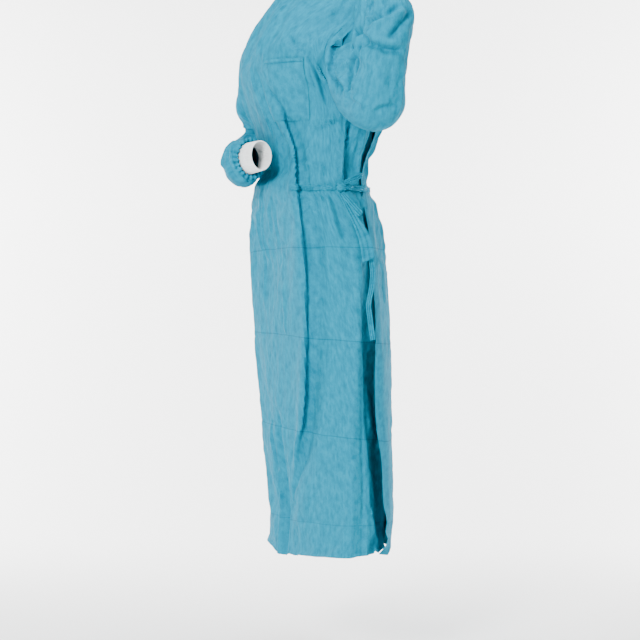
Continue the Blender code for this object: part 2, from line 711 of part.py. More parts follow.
def along_row(grid, normals, angles, angle, z):
    """A point and normal of a panel's faces at one angle and height."""
    column = float(np.interp(angle, angles, range(len(angles))))
    low = min(int(column), len(angles) - 2)
    share = column - low
    line = grid[:, low] * (1.0 - share) + grid[:, low + 1] * share
    facing = normals[:, low] * (1.0 - share) + normals[:, low + 1] * share
    row = float(np.interp(z, line[:, 2], range(len(line))))
    under = min(int(row), len(line) - 2)
    t = row - under
    point = line[under] * (1.0 - t) + line[under + 1] * t
    return point, unit(facing[under] * (1.0 - t) + facing[under + 1] * t)


def lifted(points, out):
    """Points moved out along their normals."""
    return np.array([[place + normal * out for place, normal in row] for row in points])


def make_pocket(cloth, front):
    """The chest pocket, which follows the front panel's faces."""
    angles = [a + 180.0 for a in front_angles()]
    normals = grid_normals(front, False)
    across = levels_between(POCKET_INNER + 180.0, POCKET_OUTER + 180.0, angles)
    up = levels_between(POCKET_FOOT_Z, POCKET_TOP_Z, front[:, len(angles) // 2, 2])
    points = [[along_row(front, normals, angles, a, z) for a in across] for z in up]
    add_wall("chest_pocket", lifted(points, PATCH_GAP + PATCH_WALL), PATCH_WALL, cloth)


def tie_levels():
    """Heights of a waist tie's edges."""
    return TIE_Z - TIE_HALF_WIDTH, TIE_Z + TIE_HALF_WIDTH


def make_ties(cloth, front, right):
    """The two waist ties, from the front left and round the back, up to the knot."""
    angles = [a + 180.0 for a in front_angles()]
    normals = grid_normals(front, False)
    across = levels_between(TIE_LEFT_ANGLE + 180.0, KNOT_ANGLE - TIE_TO_KNOT + 180.0, angles)
    points = [[along_row(front, normals, angles, a, z) for a in across] for z in tie_levels()]
    add_wall("tie_left", lifted(points, PATCH_GAP + TIE_WALL), TIE_WALL, cloth)

    row = int(round((TIE_Z - HEM_Z) / (MIDDLE_RING_TOP_Z - HEM_Z) * RING_ROWS))
    angles = right_back_angles(row)
    normals = grid_normals(right, False)
    out = TIE_RIGHT_GAP + TIE_WALL
    lap_end = free_edge(row)[0] + TIE_HOLD
    first = KNOT_ANGLE + TIE_TO_KNOT
    count = int((lap_end - first) / LAP_STEP)
    free = [first + (lap_end - first) * k / count for k in range(count)]
    held = levels_between(lap_end, 180.0, angles)
    grid = []
    for z in tie_levels():
        loose = [ring_point(a, z) + radial(a) * (out + LOOSE_LIFT) for a in free]
        touching = [along_row(right, normals, angles, a, z) for a in held]
        laid = [place + normal * out for place, normal in touching]
        grid.append(loose + laid)
    add_wall("tie_right", np.array(grid), TIE_WALL, cloth)


def make_knot(cloth):
    """The knot, a small lump that stands on the side of the waist."""
    centre = ring_point(KNOT_ANGLE, TIE_Z) + radial(KNOT_ANGLE) * KNOT_STANDS_OUT
    mesh = bpy.data.meshes.new("tie_knot")
    vertices = [(0.0, 0.0, -1.0)]
    for j in range(1, KNOT_STEPS // 2):
        tilt = math.pi * (j / (KNOT_STEPS / 2.0) - 0.5)
        for i in range(KNOT_STEPS):
            spin = 2.0 * math.pi * i / KNOT_STEPS
            level = math.cos(tilt)
            vertices.append((level * math.cos(spin), level * math.sin(spin), math.sin(tilt)))
    vertices.append((0.0, 0.0, 1.0))
    placed = [centre + np.array(v) * np.array(KNOT_RADII) for v in vertices]
    last = len(vertices) - 1
    faces = []
    for i in range(KNOT_STEPS):
        following = (i + 1) % KNOT_STEPS
        faces.append((0, 1 + following, 1 + i))
        top = last - KNOT_STEPS
        faces.append((top + i, top + following, last))
        for j in range(KNOT_STEPS // 2 - 2):
            low = 1 + j * KNOT_STEPS
            faces.append((low + i, low + following, low + KNOT_STEPS + following, low + KNOT_STEPS + i))
    mesh.from_pydata([tuple(v) for v in placed], [], faces)
    mesh.shade_smooth()
    knot = bpy.data.objects.new("tie_knot", mesh)
    knot.data.materials.append(cloth)
    bpy.context.scene.collection.objects.link(knot)


def make_ribbons(cloth):
    """The bow's loops and tails, as flat strips along their paths."""
    for name, wall, path in RIBBONS:
        rows = smooth_rows(np.array(path), RIBBON_STEPS)
        middle = np.array([
            plain_point(angle, z) + radial(angle) * out for z, angle, out, _ in rows
        ])
        farthest = middle[np.argmax(np.linalg.norm(middle - middle[0], axis=1))]
        side = unit(np.cross(radial(rows[len(rows) // 2, 1]), farthest - middle[0]))
        half = rows[:, 3:4]
        grid = np.array([middle - side * half, middle, middle + side * half])
        add_wall(name, grid, wall, cloth)


def main():
    """Builds every piece of the gown."""
    for old in list(bpy.data.objects):
        bpy.data.objects.remove(old)
    cloth = material("gown_cloth", CLOTH_COLOUR, CLOTH_ROUGHNESS)
    knit = material("cuff_knit", KNIT_COLOUR, KNIT_ROUGHNESS)
    front, right = make_body(cloth)
    make_sleeves(cloth, knit)
    make_binding(cloth)
    make_pocket(cloth, front)
    make_ties(cloth, front, right)
    make_knot(cloth)
    make_ribbons(cloth)


main()
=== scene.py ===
"""The isolation gown's looks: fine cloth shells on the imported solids, with their folds, seams and weave.

The gown faces -Y, its left side is +X and +Z is up. Lengths are in metres and angles in degrees, but
the tables of folds, sleeves and bow pieces are in millimetres.
"""

import math

import bpy
import numpy as np
from mathutils import Matrix


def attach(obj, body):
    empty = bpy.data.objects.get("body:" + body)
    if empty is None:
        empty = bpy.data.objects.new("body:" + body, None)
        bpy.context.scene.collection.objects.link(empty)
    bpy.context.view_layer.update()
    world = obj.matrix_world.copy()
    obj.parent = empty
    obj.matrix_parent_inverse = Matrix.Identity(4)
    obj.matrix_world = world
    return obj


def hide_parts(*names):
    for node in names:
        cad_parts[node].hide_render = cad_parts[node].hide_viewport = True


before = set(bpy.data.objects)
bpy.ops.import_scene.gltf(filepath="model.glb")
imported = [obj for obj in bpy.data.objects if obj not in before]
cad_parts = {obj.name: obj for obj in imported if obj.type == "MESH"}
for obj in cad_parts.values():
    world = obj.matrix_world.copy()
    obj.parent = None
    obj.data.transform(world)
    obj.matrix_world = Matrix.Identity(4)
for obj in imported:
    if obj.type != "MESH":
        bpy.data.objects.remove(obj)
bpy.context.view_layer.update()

# Heights, neck and armholes of the cut
HEM_Z = -1.2175
HEM_FRONT_DROP = 0.0160
HEM_BACK_RISE = 0.0080
NECK_FRONT_Z = 0.022
NECK_BACK_Z = 0.066
NECK_POINT_RISE = 0.008
SIDE_RING_TOP_Z = -0.300
MIDDLE_RING_TOP_Z = -0.150
FRONT_RING_TOP_ANGLE = 24.0
BACK_RING_TOP_ANGLE = 60.0
NECK_HALF_WIDTH = 0.078
NECK_MIDDLE_Y = -0.025
NECK_FRONT_DEPTH = 0.080
NECK_BACK_DEPTH = 0.075
BINDING_WIDTH = 0.014
BINDING_LEAN = 0.35
ARMHOLE_X = 0.188
ARMHOLE_Y = -0.020
ARMHOLE_LEAN = 0.012
ARMHOLE_Z = -0.130
ARMHOLE_HALF_HEIGHT = 0.130
ARMHOLE_HALF_DEPTH = 0.070
ARMHOLE_PINCH = 0.80
PINCH_ROWS = 2.2
SLEEVE_SEAM_STEP = 0.0016
ARMHOLE_SPREAD = 0.6
TIP_RISE = 0.5
SHOULDER_RUN = 0.86
SHOULDER_CLIMB = 0.51
NECK_RUN = 0.50
NECK_CLIMB = 0.86
ARMHOLE_RUN = 0.80
LAP_DEPTH = 0.0070
LAP_RAMP = 6.0
LAP_HELD = 2.0
FRONT_ARMHOLE_ANGLE = 38.0
FRONT_NECK_ANGLE = 62.0
BACK_ARMHOLE_ANGLE = 38.0
BACK_NECK_ANGLE = 64.0
RING_ROWS = 19
YOKE_ROWS = 6
TOP_ROW = RING_ROWS + YOKE_ROWS
RISE_STEP = 0.01

# Columns: z, half_width, middle_y, front_depth, back_depth, front_square, back_square
SECTIONS = np.array([
    (-1.244, 0.252, -0.020, 0.100, 0.106, 2.5, 2.0),
    (-1.100, 0.248, -0.020, 0.098, 0.122, 2.6, 1.9),
    (-0.940, 0.242, -0.024, 0.109, 0.129, 2.7, 1.85),
    (-0.750, 0.232, -0.028, 0.117, 0.135, 2.7, 1.8),
    (-0.560, 0.218, -0.040, 0.116, 0.132, 2.7, 1.8),
    (-0.480, 0.203, -0.050, 0.114, 0.125, 2.6, 1.9),
    (-0.430, 0.190, -0.058, 0.107, 0.112, 2.5, 2.0),
    (-0.390, 0.183, -0.055, 0.096, 0.104, 2.5, 2.1),
    (-0.320, 0.183, -0.046, 0.113, 0.118, 2.5, 2.2),
    (-0.240, 0.188, -0.047, 0.140, 0.142, 2.5, 2.3),
    (-0.190, 0.190, -0.054, 0.148, 0.152, 2.5, 2.3),
    (-0.120, 0.190, -0.050, 0.144, 0.150, 2.5, 2.3),
])

# Angle of each back piece's free edge against height. Columns: z, right_back, left_back
FREE_EDGES = np.array([
    (-1.226, 2.5, 118.0),
    (-1.160, 12.5, 118.0),
    (-1.100, 9.2, 118.0),
    (-1.000, 8.8, 118.0),
    (-0.940, 6.8, 118.0),
    (-0.750, 8.0, 118.0),
    (-0.560, 15.0, 116.0),
    (-0.490, 16.0, 114.0),
    (-0.430, 18.5, 112.0),
    (-0.340, 26.0, 108.0),
    (-0.220, 43.0, 105.0),
    (0.066, 80.0, 100.0),
])

# Folds that the solids have too, in millimetres and degrees
# Columns: width in degrees, height out or in, path of (z, angle)
BODY_FOLDS = [
    (5, 14, [(-190, -65), (-290, -50), (-380, -35), (-460, -30), (-770, -33), (-960, -41), (-1090, -62)]),
    (5, -12, [(-320, -37), (-460, -22), (-770, -24), (-980, -34), (-1100, -54)]),
    (5, 10, [(-300, 0), (-590, 4), (-790, -3), (-1010, -8), (-1300, -12)]),
    (4.5, -8, [(-560, 9), (-790, 2), (-1010, -2), (-1300, -5)]),
    (6, -12, [(-880, -82), (-1050, -90), (-1300, -92)]),
    (5, 8, [(-920, -98), (-1080, -104), (-1300, -106)]),
    (6, -10, [(-160, -24), (-200, -17), (-250, -15), (-310, -8)]),
    (6, 12, [(-440, -144), (-600, -147), (-850, -150), (-1200, -142)]),
    (6, -10, [(-440, -155), (-600, -157), (-850, -162), (-1150, -154)]),
    (16, -12, [(-220, -142), (-460, -136)]),
    (6, 8, [(-340, 180), (-700, 178), (-1300, 184)]),
    (7, -8, [(-260, 46), (-420, 52), (-540, 58)]),
    (7, -8, [(-280, 66), (-420, 70), (-600, 76)]),
    (7, -8, [(-260, 88), (-420, 90), (-560, 94)]),
    (7, -8, [(-280, 112), (-420, 110), (-580, 112)]),
    (6, -9, [(-270, 136), (-420, 132), (-600, 136)]),
    (6, -8, [(-300, 158), (-420, 154), (-580, 157)]),
    (8, 10, [(-550, 104), (-900, 102), (-1300, 100)]),
    (8, -10, [(-600, 124), (-900, 126), (-1300, 128)]),
    (8, 8, [(-580, 148), (-900, 150), (-1300, 152)]),
]
INNER_FOLDS = [
    (14, 5, [(-260, 27), (-540, 27)]),
    (8, -17, [(-440, 22), (-600, 17), (-750, 15), (-1400, 15)]),
]
OUTER_FOLDS = [
    (9, 6, [(-440, 20), (-600, 14), (-750, 9), (-1400, 8)]),
    (8, 12, [(-1130, 3), (-1400, 3)]),
]
FOLD_FADE = 0.10

# Sleeve sections along the arm, in millimetres. Columns: x, y, z, upper, under, fore, aft
LEFT_SLEEVE = np.array([
    (222, -30, -145, 112, 116, 74, 74),
    (268, -38, -190, 82, 94, 72, 72),
    (321, -44, -239, 60, 80, 68, 66),
    (371, -45, -262, 44, 65, 62, 58),
    (412, -48, -223, 36, 46, 58, 52),
    (428, -46, -167, 48, 47, 56, 50),
    (411, -36, -113, 50, 59, 52, 52),
    (376, -31, -70, 38, 36, 38, 38),
]) / 1000.0
RIGHT_SLEEVE = np.array([
    (-206, -28, -138, 118, 119, 74, 74),
    (-256, -62, -196, 124, 67, 77, 62),
    (-262, -95, -285, 37, 51, 50, 28),
    (-226, -137, -320, 31, 54, 28, 34),
    (-142, -180, -351, 40, 54, 32, 31),
    (-62, -202, -362, 48, 56, 36, 33),
    (10, -216, -373, 52, 53, 44, 45),
    (38, -212, -372, 46, 46, 40, 38),
]) / 1000.0
SLEEVE_TURN_ROWS = 2.5
# Columns: along, shrink
SLEEVE_RIM = np.array([(0.000, 0.0000), (0.006, 0.0035), (0.004, 0.0085), (-0.006, 0.0110)])
CUFF_LENGTH = 0.060
CUFF_TAPER = 0.002

# Fineness of the shells
FRONT_COLUMNS = (18, 10, 12)
LEFT_BACK_COLUMNS = (18, 10, 8)
RIGHT_BACK_COLUMNS = (12, 10, 18)
ROW_SPLIT = 6
SLEEVE_RINGS_PER_ROW = 14
SLEEVE_COLUMNS = 88
# A cuff runs straight, so few rows hold its whole shape
CUFF_ROWS = 13
CLOTH_THICKNESS = 0.0007
KNIT_THICKNESS = 0.0014
BINDING_THICKNESS = 0.0012
KNOT_THICKNESS = 0.0030
# Arc of the body, in metres for each degree, by which fold widths are read
ARC = 0.0035

# Drawn folds and creases
FOLD_STRENGTH = 2.0
CREASE_STRENGTH = 1.8
SLEEVE_STRENGTH = 1.5
CREASE_WIDTH = 0.0036
PLEAT_STEP = 0.010
LINE_END = 0.18
HEM_TURN = 0.018
SLEEVE_GIRTH = 0.42
SLEEVE_LENGTH = 0.52
GATHERS = 22
CUFF_RIBS = 56
CUFF_RADIUS = 0.026

# Growth of the cloth in its simulation, by which it buckles into small folds
BODY_GROWTH = 0.018
SLEEVE_GROWTH = 0.035
SIM_FRAMES = 14

TIE_Z = -0.4415
TIE_STAND = 0.0028
TIE_HALF_WIDTH = 0.0060
KNOT_ANGLE = -1.8
POCKET_ANGLES = (-56.0, -25.0)
POCKET_HEIGHTS = (-0.295, -0.167)
POCKET_STAND = 0.0030
POCKET_HEM = 0.0080

# The way across the picture, and the way that its cloth faces
SIDE_WAY = np.array([0.342, 0.940, 0.0])
SIDE_OUT = np.array([0.940, -0.342, 0.0])


def smooth(value):
    """0 below 0, 1 above 1, and an even ramp between."""
    t = np.clip(value, 0.0, 1.0)
    return t * t * (3.0 - 2.0 * t)


def unit(vectors):
    """Vectors of length one."""
    return vectors / np.maximum(np.linalg.norm(vectors, axis=-1, keepdims=True), 1e-12)


def curve(t, start, leaving, end, arriving):
    """A point of a smooth curve from start to end, t of the way."""
    return (
        (2 * t**3 - 3 * t**2 + 1) * start
        + (t**3 - 2 * t**2 + t) * leaving
        + (3 * t**2 - 2 * t**3) * end
        + (t**3 - t**2) * arriving
    )


def table_at(table, at):
    """A smooth curve through a table's rows, at every value of an array."""
    x = table[:, 0]
    slopes = np.gradient(table[:, 1:], x, axis=0)
    at = np.clip(at, x[0], x[-1])
    k = np.clip(np.searchsorted(x, at) - 1, 0, len(x) - 2)
    h = (x[k + 1] - x[k])[..., None]
    t = (at - x[k])[..., None] / h
    return curve(t, table[k, 1:], h * slopes[k], table[k + 1, 1:], h * slopes[k + 1])


def numbered(table):
    """A table with its rows' numbers as its first column."""
    return np.column_stack([np.arange(len(table)), np.array(table)])


def turn(angle):
    """An angle brought into -180 to 180 degrees."""
    return (angle + 180.0) % 360.0 - 180.0


def fold_height(folds, angle, z):
    """How far the solids' folds move the cloth out."""
    total = np.zeros(np.broadcast(angle, z).shape)
    for width, height, path in folds:
        levels, angles = np.array(path[::-1], float).T
        levels = levels / 1000.0
        inside = (z >= levels[0]) & (z <= levels[-1])
        across = turn(angle - np.interp(z, levels, angles)) / width
        ends = smooth((levels[-1] - z) / FOLD_FADE) * smooth((z - levels[0]) / FOLD_FADE)
        total += np.where(inside, height / 1000.0 * ends * np.exp(-across * across), 0.0)
    return total


def radial(angle):
    """The way out of the body at an angle."""
    a = np.radians(angle)
    return np.stack([np.cos(a), np.sin(a), np.zeros_like(a)], axis=-1)


def plain_point(angle, z):
    """The body's line, without folds."""
    angle, z = np.broadcast_arrays(np.asarray(angle, float), np.asarray(z, float))
    half_width, middle_y, front, back, front_square, back_square = np.moveaxis(table_at(SECTIONS, z), -1, 0)
    c, s = np.cos(np.radians(angle)), np.sin(np.radians(angle))
    depth = np.where(s > 0, back, front)
    power = np.where(s > 0, back_square, front_square)
    reach = (np.abs(c / half_width) ** power + np.abs(s / depth) ** power) ** (-1.0 / power)
    return np.stack([reach * c, middle_y + reach * s, z], axis=-1)


def ring_point(angle, z, extra_folds):
    """The cloth's outer side on a level section."""
    out = fold_height(BODY_FOLDS, angle, z) + fold_height(extra_folds, angle, z)
    return plain_point(angle, z) + radial(angle) * out[..., None]


def pinched(c, s):
    """How much of the armhole's narrowing is reached: none at its foot and back, all at its upper front."""
    return smooth((c + 0.20) / 0.75) * smooth(s / 0.2 + 0.5)


def armhole(side, turned):
    """A point of an armhole's edge. turned is 0 at the shoulder tip and 90 at the front."""
    c, s = math.cos(math.radians(turned)), math.sin(math.radians(turned))
    return np.array([
        side * ARMHOLE_X,
        ARMHOLE_Y + ARMHOLE_LEAN * c - ARMHOLE_HALF_DEPTH * s * (1.0 - ARMHOLE_PINCH * float(pinched(c, s))),
        ARMHOLE_Z + ARMHOLE_HALF_HEIGHT * c,
    ])


def neck(turned):
    """A point of the neck's edge. turned is 0 at the front, 90 at the left and 180 at the back."""
    c, s = math.cos(math.radians(turned)), math.sin(math.radians(turned))
    depth = NECK_FRONT_DEPTH if c > 0 else NECK_BACK_DEPTH
    rise = (NECK_BACK_Z - NECK_FRONT_Z) * (1.0 - c) / 2.0
    return np.array([
        NECK_HALF_WIDTH * s,
        NECK_MIDDLE_Y - depth * c,
        NECK_FRONT_Z + rise + NECK_POINT_RISE * s * s,
    ])


def top_edge(angle):
    """A panel's upper edge at an angle, and the way that the cloth runs there."""
    front = angle < 0
    side = 1.0 if abs(angle) <= 90.0 else -1.0
    from_side = abs(angle) if side > 0 else 180.0 - abs(angle)
    toward = 1.0 if front else -1.0
    arm_end, neck_start = (
        (FRONT_ARMHOLE_ANGLE, FRONT_NECK_ANGLE) if front else (BACK_ARMHOLE_ANGLE, BACK_NECK_ANGLE)
    )
    over = np.array([0.0, SHOULDER_RUN * toward, SHOULDER_CLIMB])
    if from_side <= arm_end:
        turned = 180.0 * (1.0 - from_side / arm_end)
        point = armhole(side, turned if front else -turned)
        across = ARMHOLE_RUN * (1.0 if turned < 90.0 else math.sin(math.radians(turned)))
        rising = max(-math.cos(math.radians(turned)), 0.0)
        outward_way = ARMHOLE_SPREAD * float(smooth((180.0 - turned) / 90.0))
        lean = float(smooth(1.0 - turned / 90.0))
        return point, unit(np.array([side * outward_way, toward * across, rising + TIP_RISE * lean]))
    tip = armhole(side, 0.0)
    neck_turn = 90.0 if side > 0 else 270.0
    if from_side <= neck_start:
        t = (from_side - arm_end) / (neck_start - arm_end)
        spread = side * ARMHOLE_SPREAD * (1.0 - t) ** 2
        return tip + (neck(neck_turn) - tip) * t, unit(over + np.array([spread, 0.0, 0.0]))
    t = (from_side - neck_start) / (90.0 - neck_start)
    middle_turn = (0.0 if side > 0 else 360.0) if front else 180.0
    at_middle = np.array([0.0, NECK_RUN * toward, NECK_CLIMB])
    return neck(neck_turn + (middle_turn - neck_turn) * t), unit(over * (1 - t) + at_middle * t)


def ring_top(angle):
    """The height where a line up the cloth leaves the level sections."""
    from_side = np.minimum(np.abs(angle), 180.0 - np.abs(angle))
    reach = np.where(angle < 0, FRONT_RING_TOP_ANGLE, BACK_RING_TOP_ANGLE)
    return SIDE_RING_TOP_Z + (MIDDLE_RING_TOP_Z - SIDE_RING_TOP_Z) * smooth(from_side / reach)


def hem_z(angle):
    """The hem's height, a little lower at the front than at the back."""
    s = np.sin(np.radians(angle))
    return HEM_Z + s * np.where(s < 0, HEM_FRONT_DROP, HEM_BACK_RISE)


def body_grid(angles, rows, extra_folds=()):
    """Points of the body's cloth, for a grid of angles whose rows count up from the hem."""
    top = ring_top(angles)
    low = hem_z(angles)
    z = low + (top - low) * np.minimum(rows, RING_ROWS)[:, None] / RING_ROWS
    grid = ring_point(angles, z, extra_folds)
    for i, row in enumerate(rows):
        if row <= RING_ROWS:
            continue
        t = (row - RING_ROWS) / YOKE_ROWS
        start = grid[i]
        rising = (start - ring_point(angles[i], top[i] - RISE_STEP, extra_folds)) / RISE_STEP
        end, way = np.moveaxis(np.array([top_edge(a) for a in angles[i]]), 1, 0)
        long = np.linalg.norm(end - start, axis=1, keepdims=True)
        grid[i] = curve(t, start, long * unit(rising), end, long * way)
    return grid


def steps(stops, counts):
    """Values from stop to stop, with a count of equal steps between each two."""
    values = [stops[0]]
    for low, high, count in zip(stops, stops[1:], counts):
        values += [low + (high - low) * (k + 1) / count for k in range(count)]
    return np.array(values)


def free_edge(row):
    """Angles of the right and the left back piece's free edges at one row."""
    height = HEM_Z + (NECK_BACK_Z - HEM_Z) * row / TOP_ROW
    return table_at(FREE_EDGES, np.array(height))


def front_angles(_):
    """Angles of the front panel's columns, the same on every row."""
    half = steps([0.0, FRONT_ARMHOLE_ANGLE, FRONT_NECK_ANGLE, 90.0], FRONT_COLUMNS)
    return np.concatenate([-180.0 + half, -half[::-1][1:]])


def left_back_angles(row):
    """Angles of the left back's columns on a row."""
    end = free_edge(TOP_ROW)[1]
    top = steps([0.0, BACK_ARMHOLE_ANGLE, BACK_NECK_ANGLE, end], LEFT_BACK_COLUMNS)
    return top * free_edge(row)[1] / end


def right_back_angles(row):
    """Angles of the right back's columns on a row."""
    end = free_edge(TOP_ROW)[0]
    stops = [end, 180.0 - BACK_NECK_ANGLE, 180.0 - BACK_ARMHOLE_ANGLE, 180.0]
    top = steps(stops, RIGHT_BACK_COLUMNS)
    return 180.0 - (180.0 - top) * (180.0 - free_edge(row)[0]) / (180.0 - end)


def grid_normals(grid, closed=False):
    """Normals of a grid of points, rows first."""
    if closed:
        padded = np.concatenate([grid[:, -1:], grid, grid[:, :1]], axis=1)
        along = (padded[:, 2:] - padded[:, :-2]) / 2.0
    else:
        along = np.gradient(grid, axis=1)
    up = np.gradient(grid, axis=0)
    return unit(np.cross(along, up))


def doubled(grid, closed=False):
    """A grid with a point put between each two, first along the rows and then across them."""
    def between(points, around):
        if around:
            before, after = np.roll(points, 1, axis=0), np.roll(points, -1, axis=0)
            far = np.roll(points, -2, axis=0)
            middle = (9.0 * (points + after) - before - far) / 16.0
            return np.stack([points, middle], axis=1).reshape(-1, *points.shape[1:])
        middle = (points[:-1] + points[1:]) / 2.0
        middle[1:-1] = (9.0 * (points[1:-2] + points[2:-1]) - points[:-3] - points[3:]) / 16.0
        out = np.empty((2 * len(points) - 1, *points.shape[1:]))
        out[::2] = points
        out[1::2] = middle
        return out

    tall = between(grid, False)
    return np.swapaxes(between(np.swapaxes(tall, 0, 1), closed), 0, 1)


def cloth_coordinates(grid, closed):
    """Lengths across and along the cloth, in metres, for every point of a grid."""
    ring = np.concatenate([grid, grid[:, :1]], axis=1) if closed else grid
    across = np.linalg.norm(np.diff(ring, axis=1), axis=2).mean(axis=0)
    u = np.concatenate([[0.0], np.cumsum(across)])
    along = np.linalg.norm(np.diff(grid, axis=0), axis=2).mean(axis=1)
    v = np.concatenate([[0.0], np.cumsum(along)])
    return u, v


def shown(name, data):
    """An object in the scene."""
    made = bpy.data.objects.new(name, data)
    bpy.context.scene.collection.objects.link(made)
    return made


def grid_faces(rows, columns, closed):
    """Each face's place in a grid, and the numbers of its four corners."""
    j, i = np.meshgrid(np.arange(rows - 1), np.arange(columns if closed else columns - 1), indexing="ij")
    i, j = i.ravel(), j.ravel()
    nexts = (i + 1) % columns
    corners = [j * columns + i, j * columns + nexts, (j + 1) * columns + nexts, (j + 1) * columns + i]
    return i, j, np.stack(corners, axis=1)


def cloth_piece(name, outer, thickness, finish, closed=False):
    """A piece of cloth from its outer grid, with its inner side one thickness further in."""
    inner = outer - grid_normals(outer, closed) * thickness
    rows, columns = outer.shape[:2]
    spans = columns if closed else columns - 1
    u, v = cloth_coordinates(outer, closed)
    i, j, front = grid_faces(rows, columns, closed)
    flat = np.stack([u[i], v[j], u[i + 1], v[j], u[i + 1], v[j + 1], u[i], v[j + 1]], axis=1)
    flat = flat.reshape(-1, 4, 2)
    deep = rows * columns
    faces, places = [front, front[:, ::-1] + deep], [flat, flat[:, ::-1]]

    def rim(line, at):
        line = np.asarray(line)
        low, high = line[:-1], line[1:]
        faces.append(np.stack([low, low + deep, high + deep, high], axis=1))
        places.append(np.stack([at[:-1], at[:-1], at[1:], at[1:]], axis=1))

    level = np.arange(spans + 1)
    rim(level % columns, np.stack([u[level], np.full(spans + 1, v[0])], axis=1))
    top = level[::-1]
    rim((rows - 1) * columns + top % columns, np.stack([u[top], np.full(spans + 1, v[-1])], axis=1))
    if not closed:
        up = np.arange(rows)
        rim(up[::-1] * columns, np.stack([np.full(rows, u[0]), v[up[::-1]]], axis=1))
        rim(up * columns + columns - 1, np.stack([np.full(rows, u[-1]), v[up]], axis=1))
    points = np.concatenate([outer.reshape(-1, 3), inner.reshape(-1, 3)])
    mesh = bpy.data.meshes.new(name)
    mesh.from_pydata(points.tolist(), [], np.concatenate(faces).tolist())
    layer = mesh.uv_layers.new(name="cloth")
    layer.data.foreach_set("uv", np.concatenate(places).reshape(-1).astype(np.float32))
    mesh.shade_smooth()
    mesh.set_sharp_from_angle(angle=math.radians(60.0))
    mesh.materials.append(finish)
    return shown(name, mesh)


CLOTH_SETTINGS = {
    "quality": 5, "mass": 0.05, "tension_stiffness": 15.0, "compression_stiffness": 15.0,
    "shear_stiffness": 5.0, "tension_damping": 5.0, "compression_damping": 5.0, "shear_damping": 5.0,
    "bending_damping": 0.5, "vertex_group_mass": "hold", "pin_stiffness": 1.0,
}


def crumpled(grid, hold, growth, bending, cap, closed=False):
    """The grid after its cloth has grown a little in a simulation, so that it buckles into folds.

    hold is how firmly each point keeps its place, from 0 to 1. No point moves further than cap.
    """
    rows, columns = grid.shape[:2]
    mesh = bpy.data.meshes.new("crumple")
    mesh.from_pydata(grid.reshape(-1, 3).tolist(), [], grid_faces(rows, columns, closed)[2].tolist())
    piece = shown("crumple", mesh)
    group = piece.vertex_groups.new(name="hold")
    for k, weight in enumerate(hold.reshape(-1)):
        group.add([k], float(weight), "REPLACE")
    cloth = piece.modifiers.new("cloth", "CLOTH")
    for setting, value in {**CLOTH_SETTINGS, "bending_stiffness": bending, "shrink_min": -growth}.items():
        setattr(cloth.settings, setting, value)
    cloth.settings.effector_weights.gravity = 0.15
    cloth.collision_settings.use_collision = False
    cloth.point_cache.frame_start = 1
    cloth.point_cache.frame_end = SIM_FRAMES
    for at in range(1, SIM_FRAMES + 1):
        bpy.context.scene.frame_set(at)
    seen = piece.evaluated_get(bpy.context.evaluated_depsgraph_get())
    moved = np.empty(rows * columns * 3, np.float32)
    seen.data.vertices.foreach_get("co", moved)
    bpy.data.objects.remove(piece)
    bpy.context.scene.frame_set(1)
    shift = moved.reshape(grid.shape).astype(float) - grid
    far = np.linalg.norm(shift, axis=2, keepdims=True)
    return grid + shift * np.minimum(1.0, cap / np.maximum(far, 1e-9))


def line_relief(lines, across, height):
    """How far drawn lines move the cloth, at places given by their two cloth coordinates in metres.

    Each line has a profile, the reach of that profile and its points.
    """
    total = np.zeros(across.shape)
    for profile, reach, path in lines:
        path = np.asarray(path, float)
        lengths = np.linalg.norm(np.diff(path, axis=0), axis=1)
        near = (
            (across > path[:, 0].min() - reach) & (across < path[:, 0].max() + reach)
            & (height > path[:, 1].min() - reach) & (height < path[:, 1].max() + reach)
        )
        if not near.any():
            continue
        x, y = across[near], height[near]
        best, signed, place, run = np.full(x.shape, 1e9), np.zeros(x.shape), np.zeros(x.shape), 0.0
        for start, end, long in zip(path, path[1:], lengths):
            way = (end - start) / long
            dx, dy = x - start[0], y - start[1]
            t = np.clip(dx * way[0] + dy * way[1], 0.0, long)
            far = np.hypot(dx - way[0] * t, dy - way[1] * t)
            closer = far < best
            best = np.where(closer, far, best)
            signed = np.where(closer, far * np.sign(way[0] * dy - way[1] * dx), signed)
            place = np.where(closer, (run + t) / lengths.sum(), place)
            run += long
        ends = smooth(place / LINE_END) * smooth((1.0 - place) / LINE_END)
        total[near] += profile(signed) * ends
    return total


def ridge(width, height, strength=1.0):
    """Profile and reach of an even line, or of a trough where the height is below 0, from millimetres."""
    width, height = width / 1000.0, height / 1000.0 * strength
    return (lambda off: height * np.exp(-(off / width) ** 2)), 4.0 * width


def crease(height):
    """Profile and reach of a sharp line."""
    high = height / 1000.0 * CREASE_STRENGTH
    return (lambda off: high * np.exp(-np.abs(off / CREASE_WIDTH) ** 1.3)), 4.0 * CREASE_WIDTH


def pleat(*row):
    """Profile and reach of a line that stands at one height and drops to another in a short step."""
    left_width, right_width, left_height, right_height = (value / 1000.0 for value in row)

    def profile(off):
        up = left_height * FOLD_STRENGTH * np.exp(-np.abs(off) / left_width)
        down = right_height * FOLD_STRENGTH * np.exp(-np.abs(off) / right_width)
        return down + (up - down) * smooth(off / PLEAT_STEP + 0.5)

    return profile, 4.0 * max(left_width, right_width)


def seeded_noise(seed, across, height, size, stretch):
    """Even noise from -1 to 1 over cloth coordinates, a sum of slanted waves."""
    draw = np.random.default_rng(seed)
    total = np.zeros(across.shape)
    for _ in range(14):
        heading = draw.uniform(0.0, math.pi)
        pace = 2.0 * math.pi / size * draw.uniform(0.6, 1.6)
        wave = np.cos(heading) * across + np.sin(heading) * height / stretch
        total += np.cos(wave * pace + draw.uniform(0.0, 2.0 * math.pi))
    return total / 14.0 ** 0.5


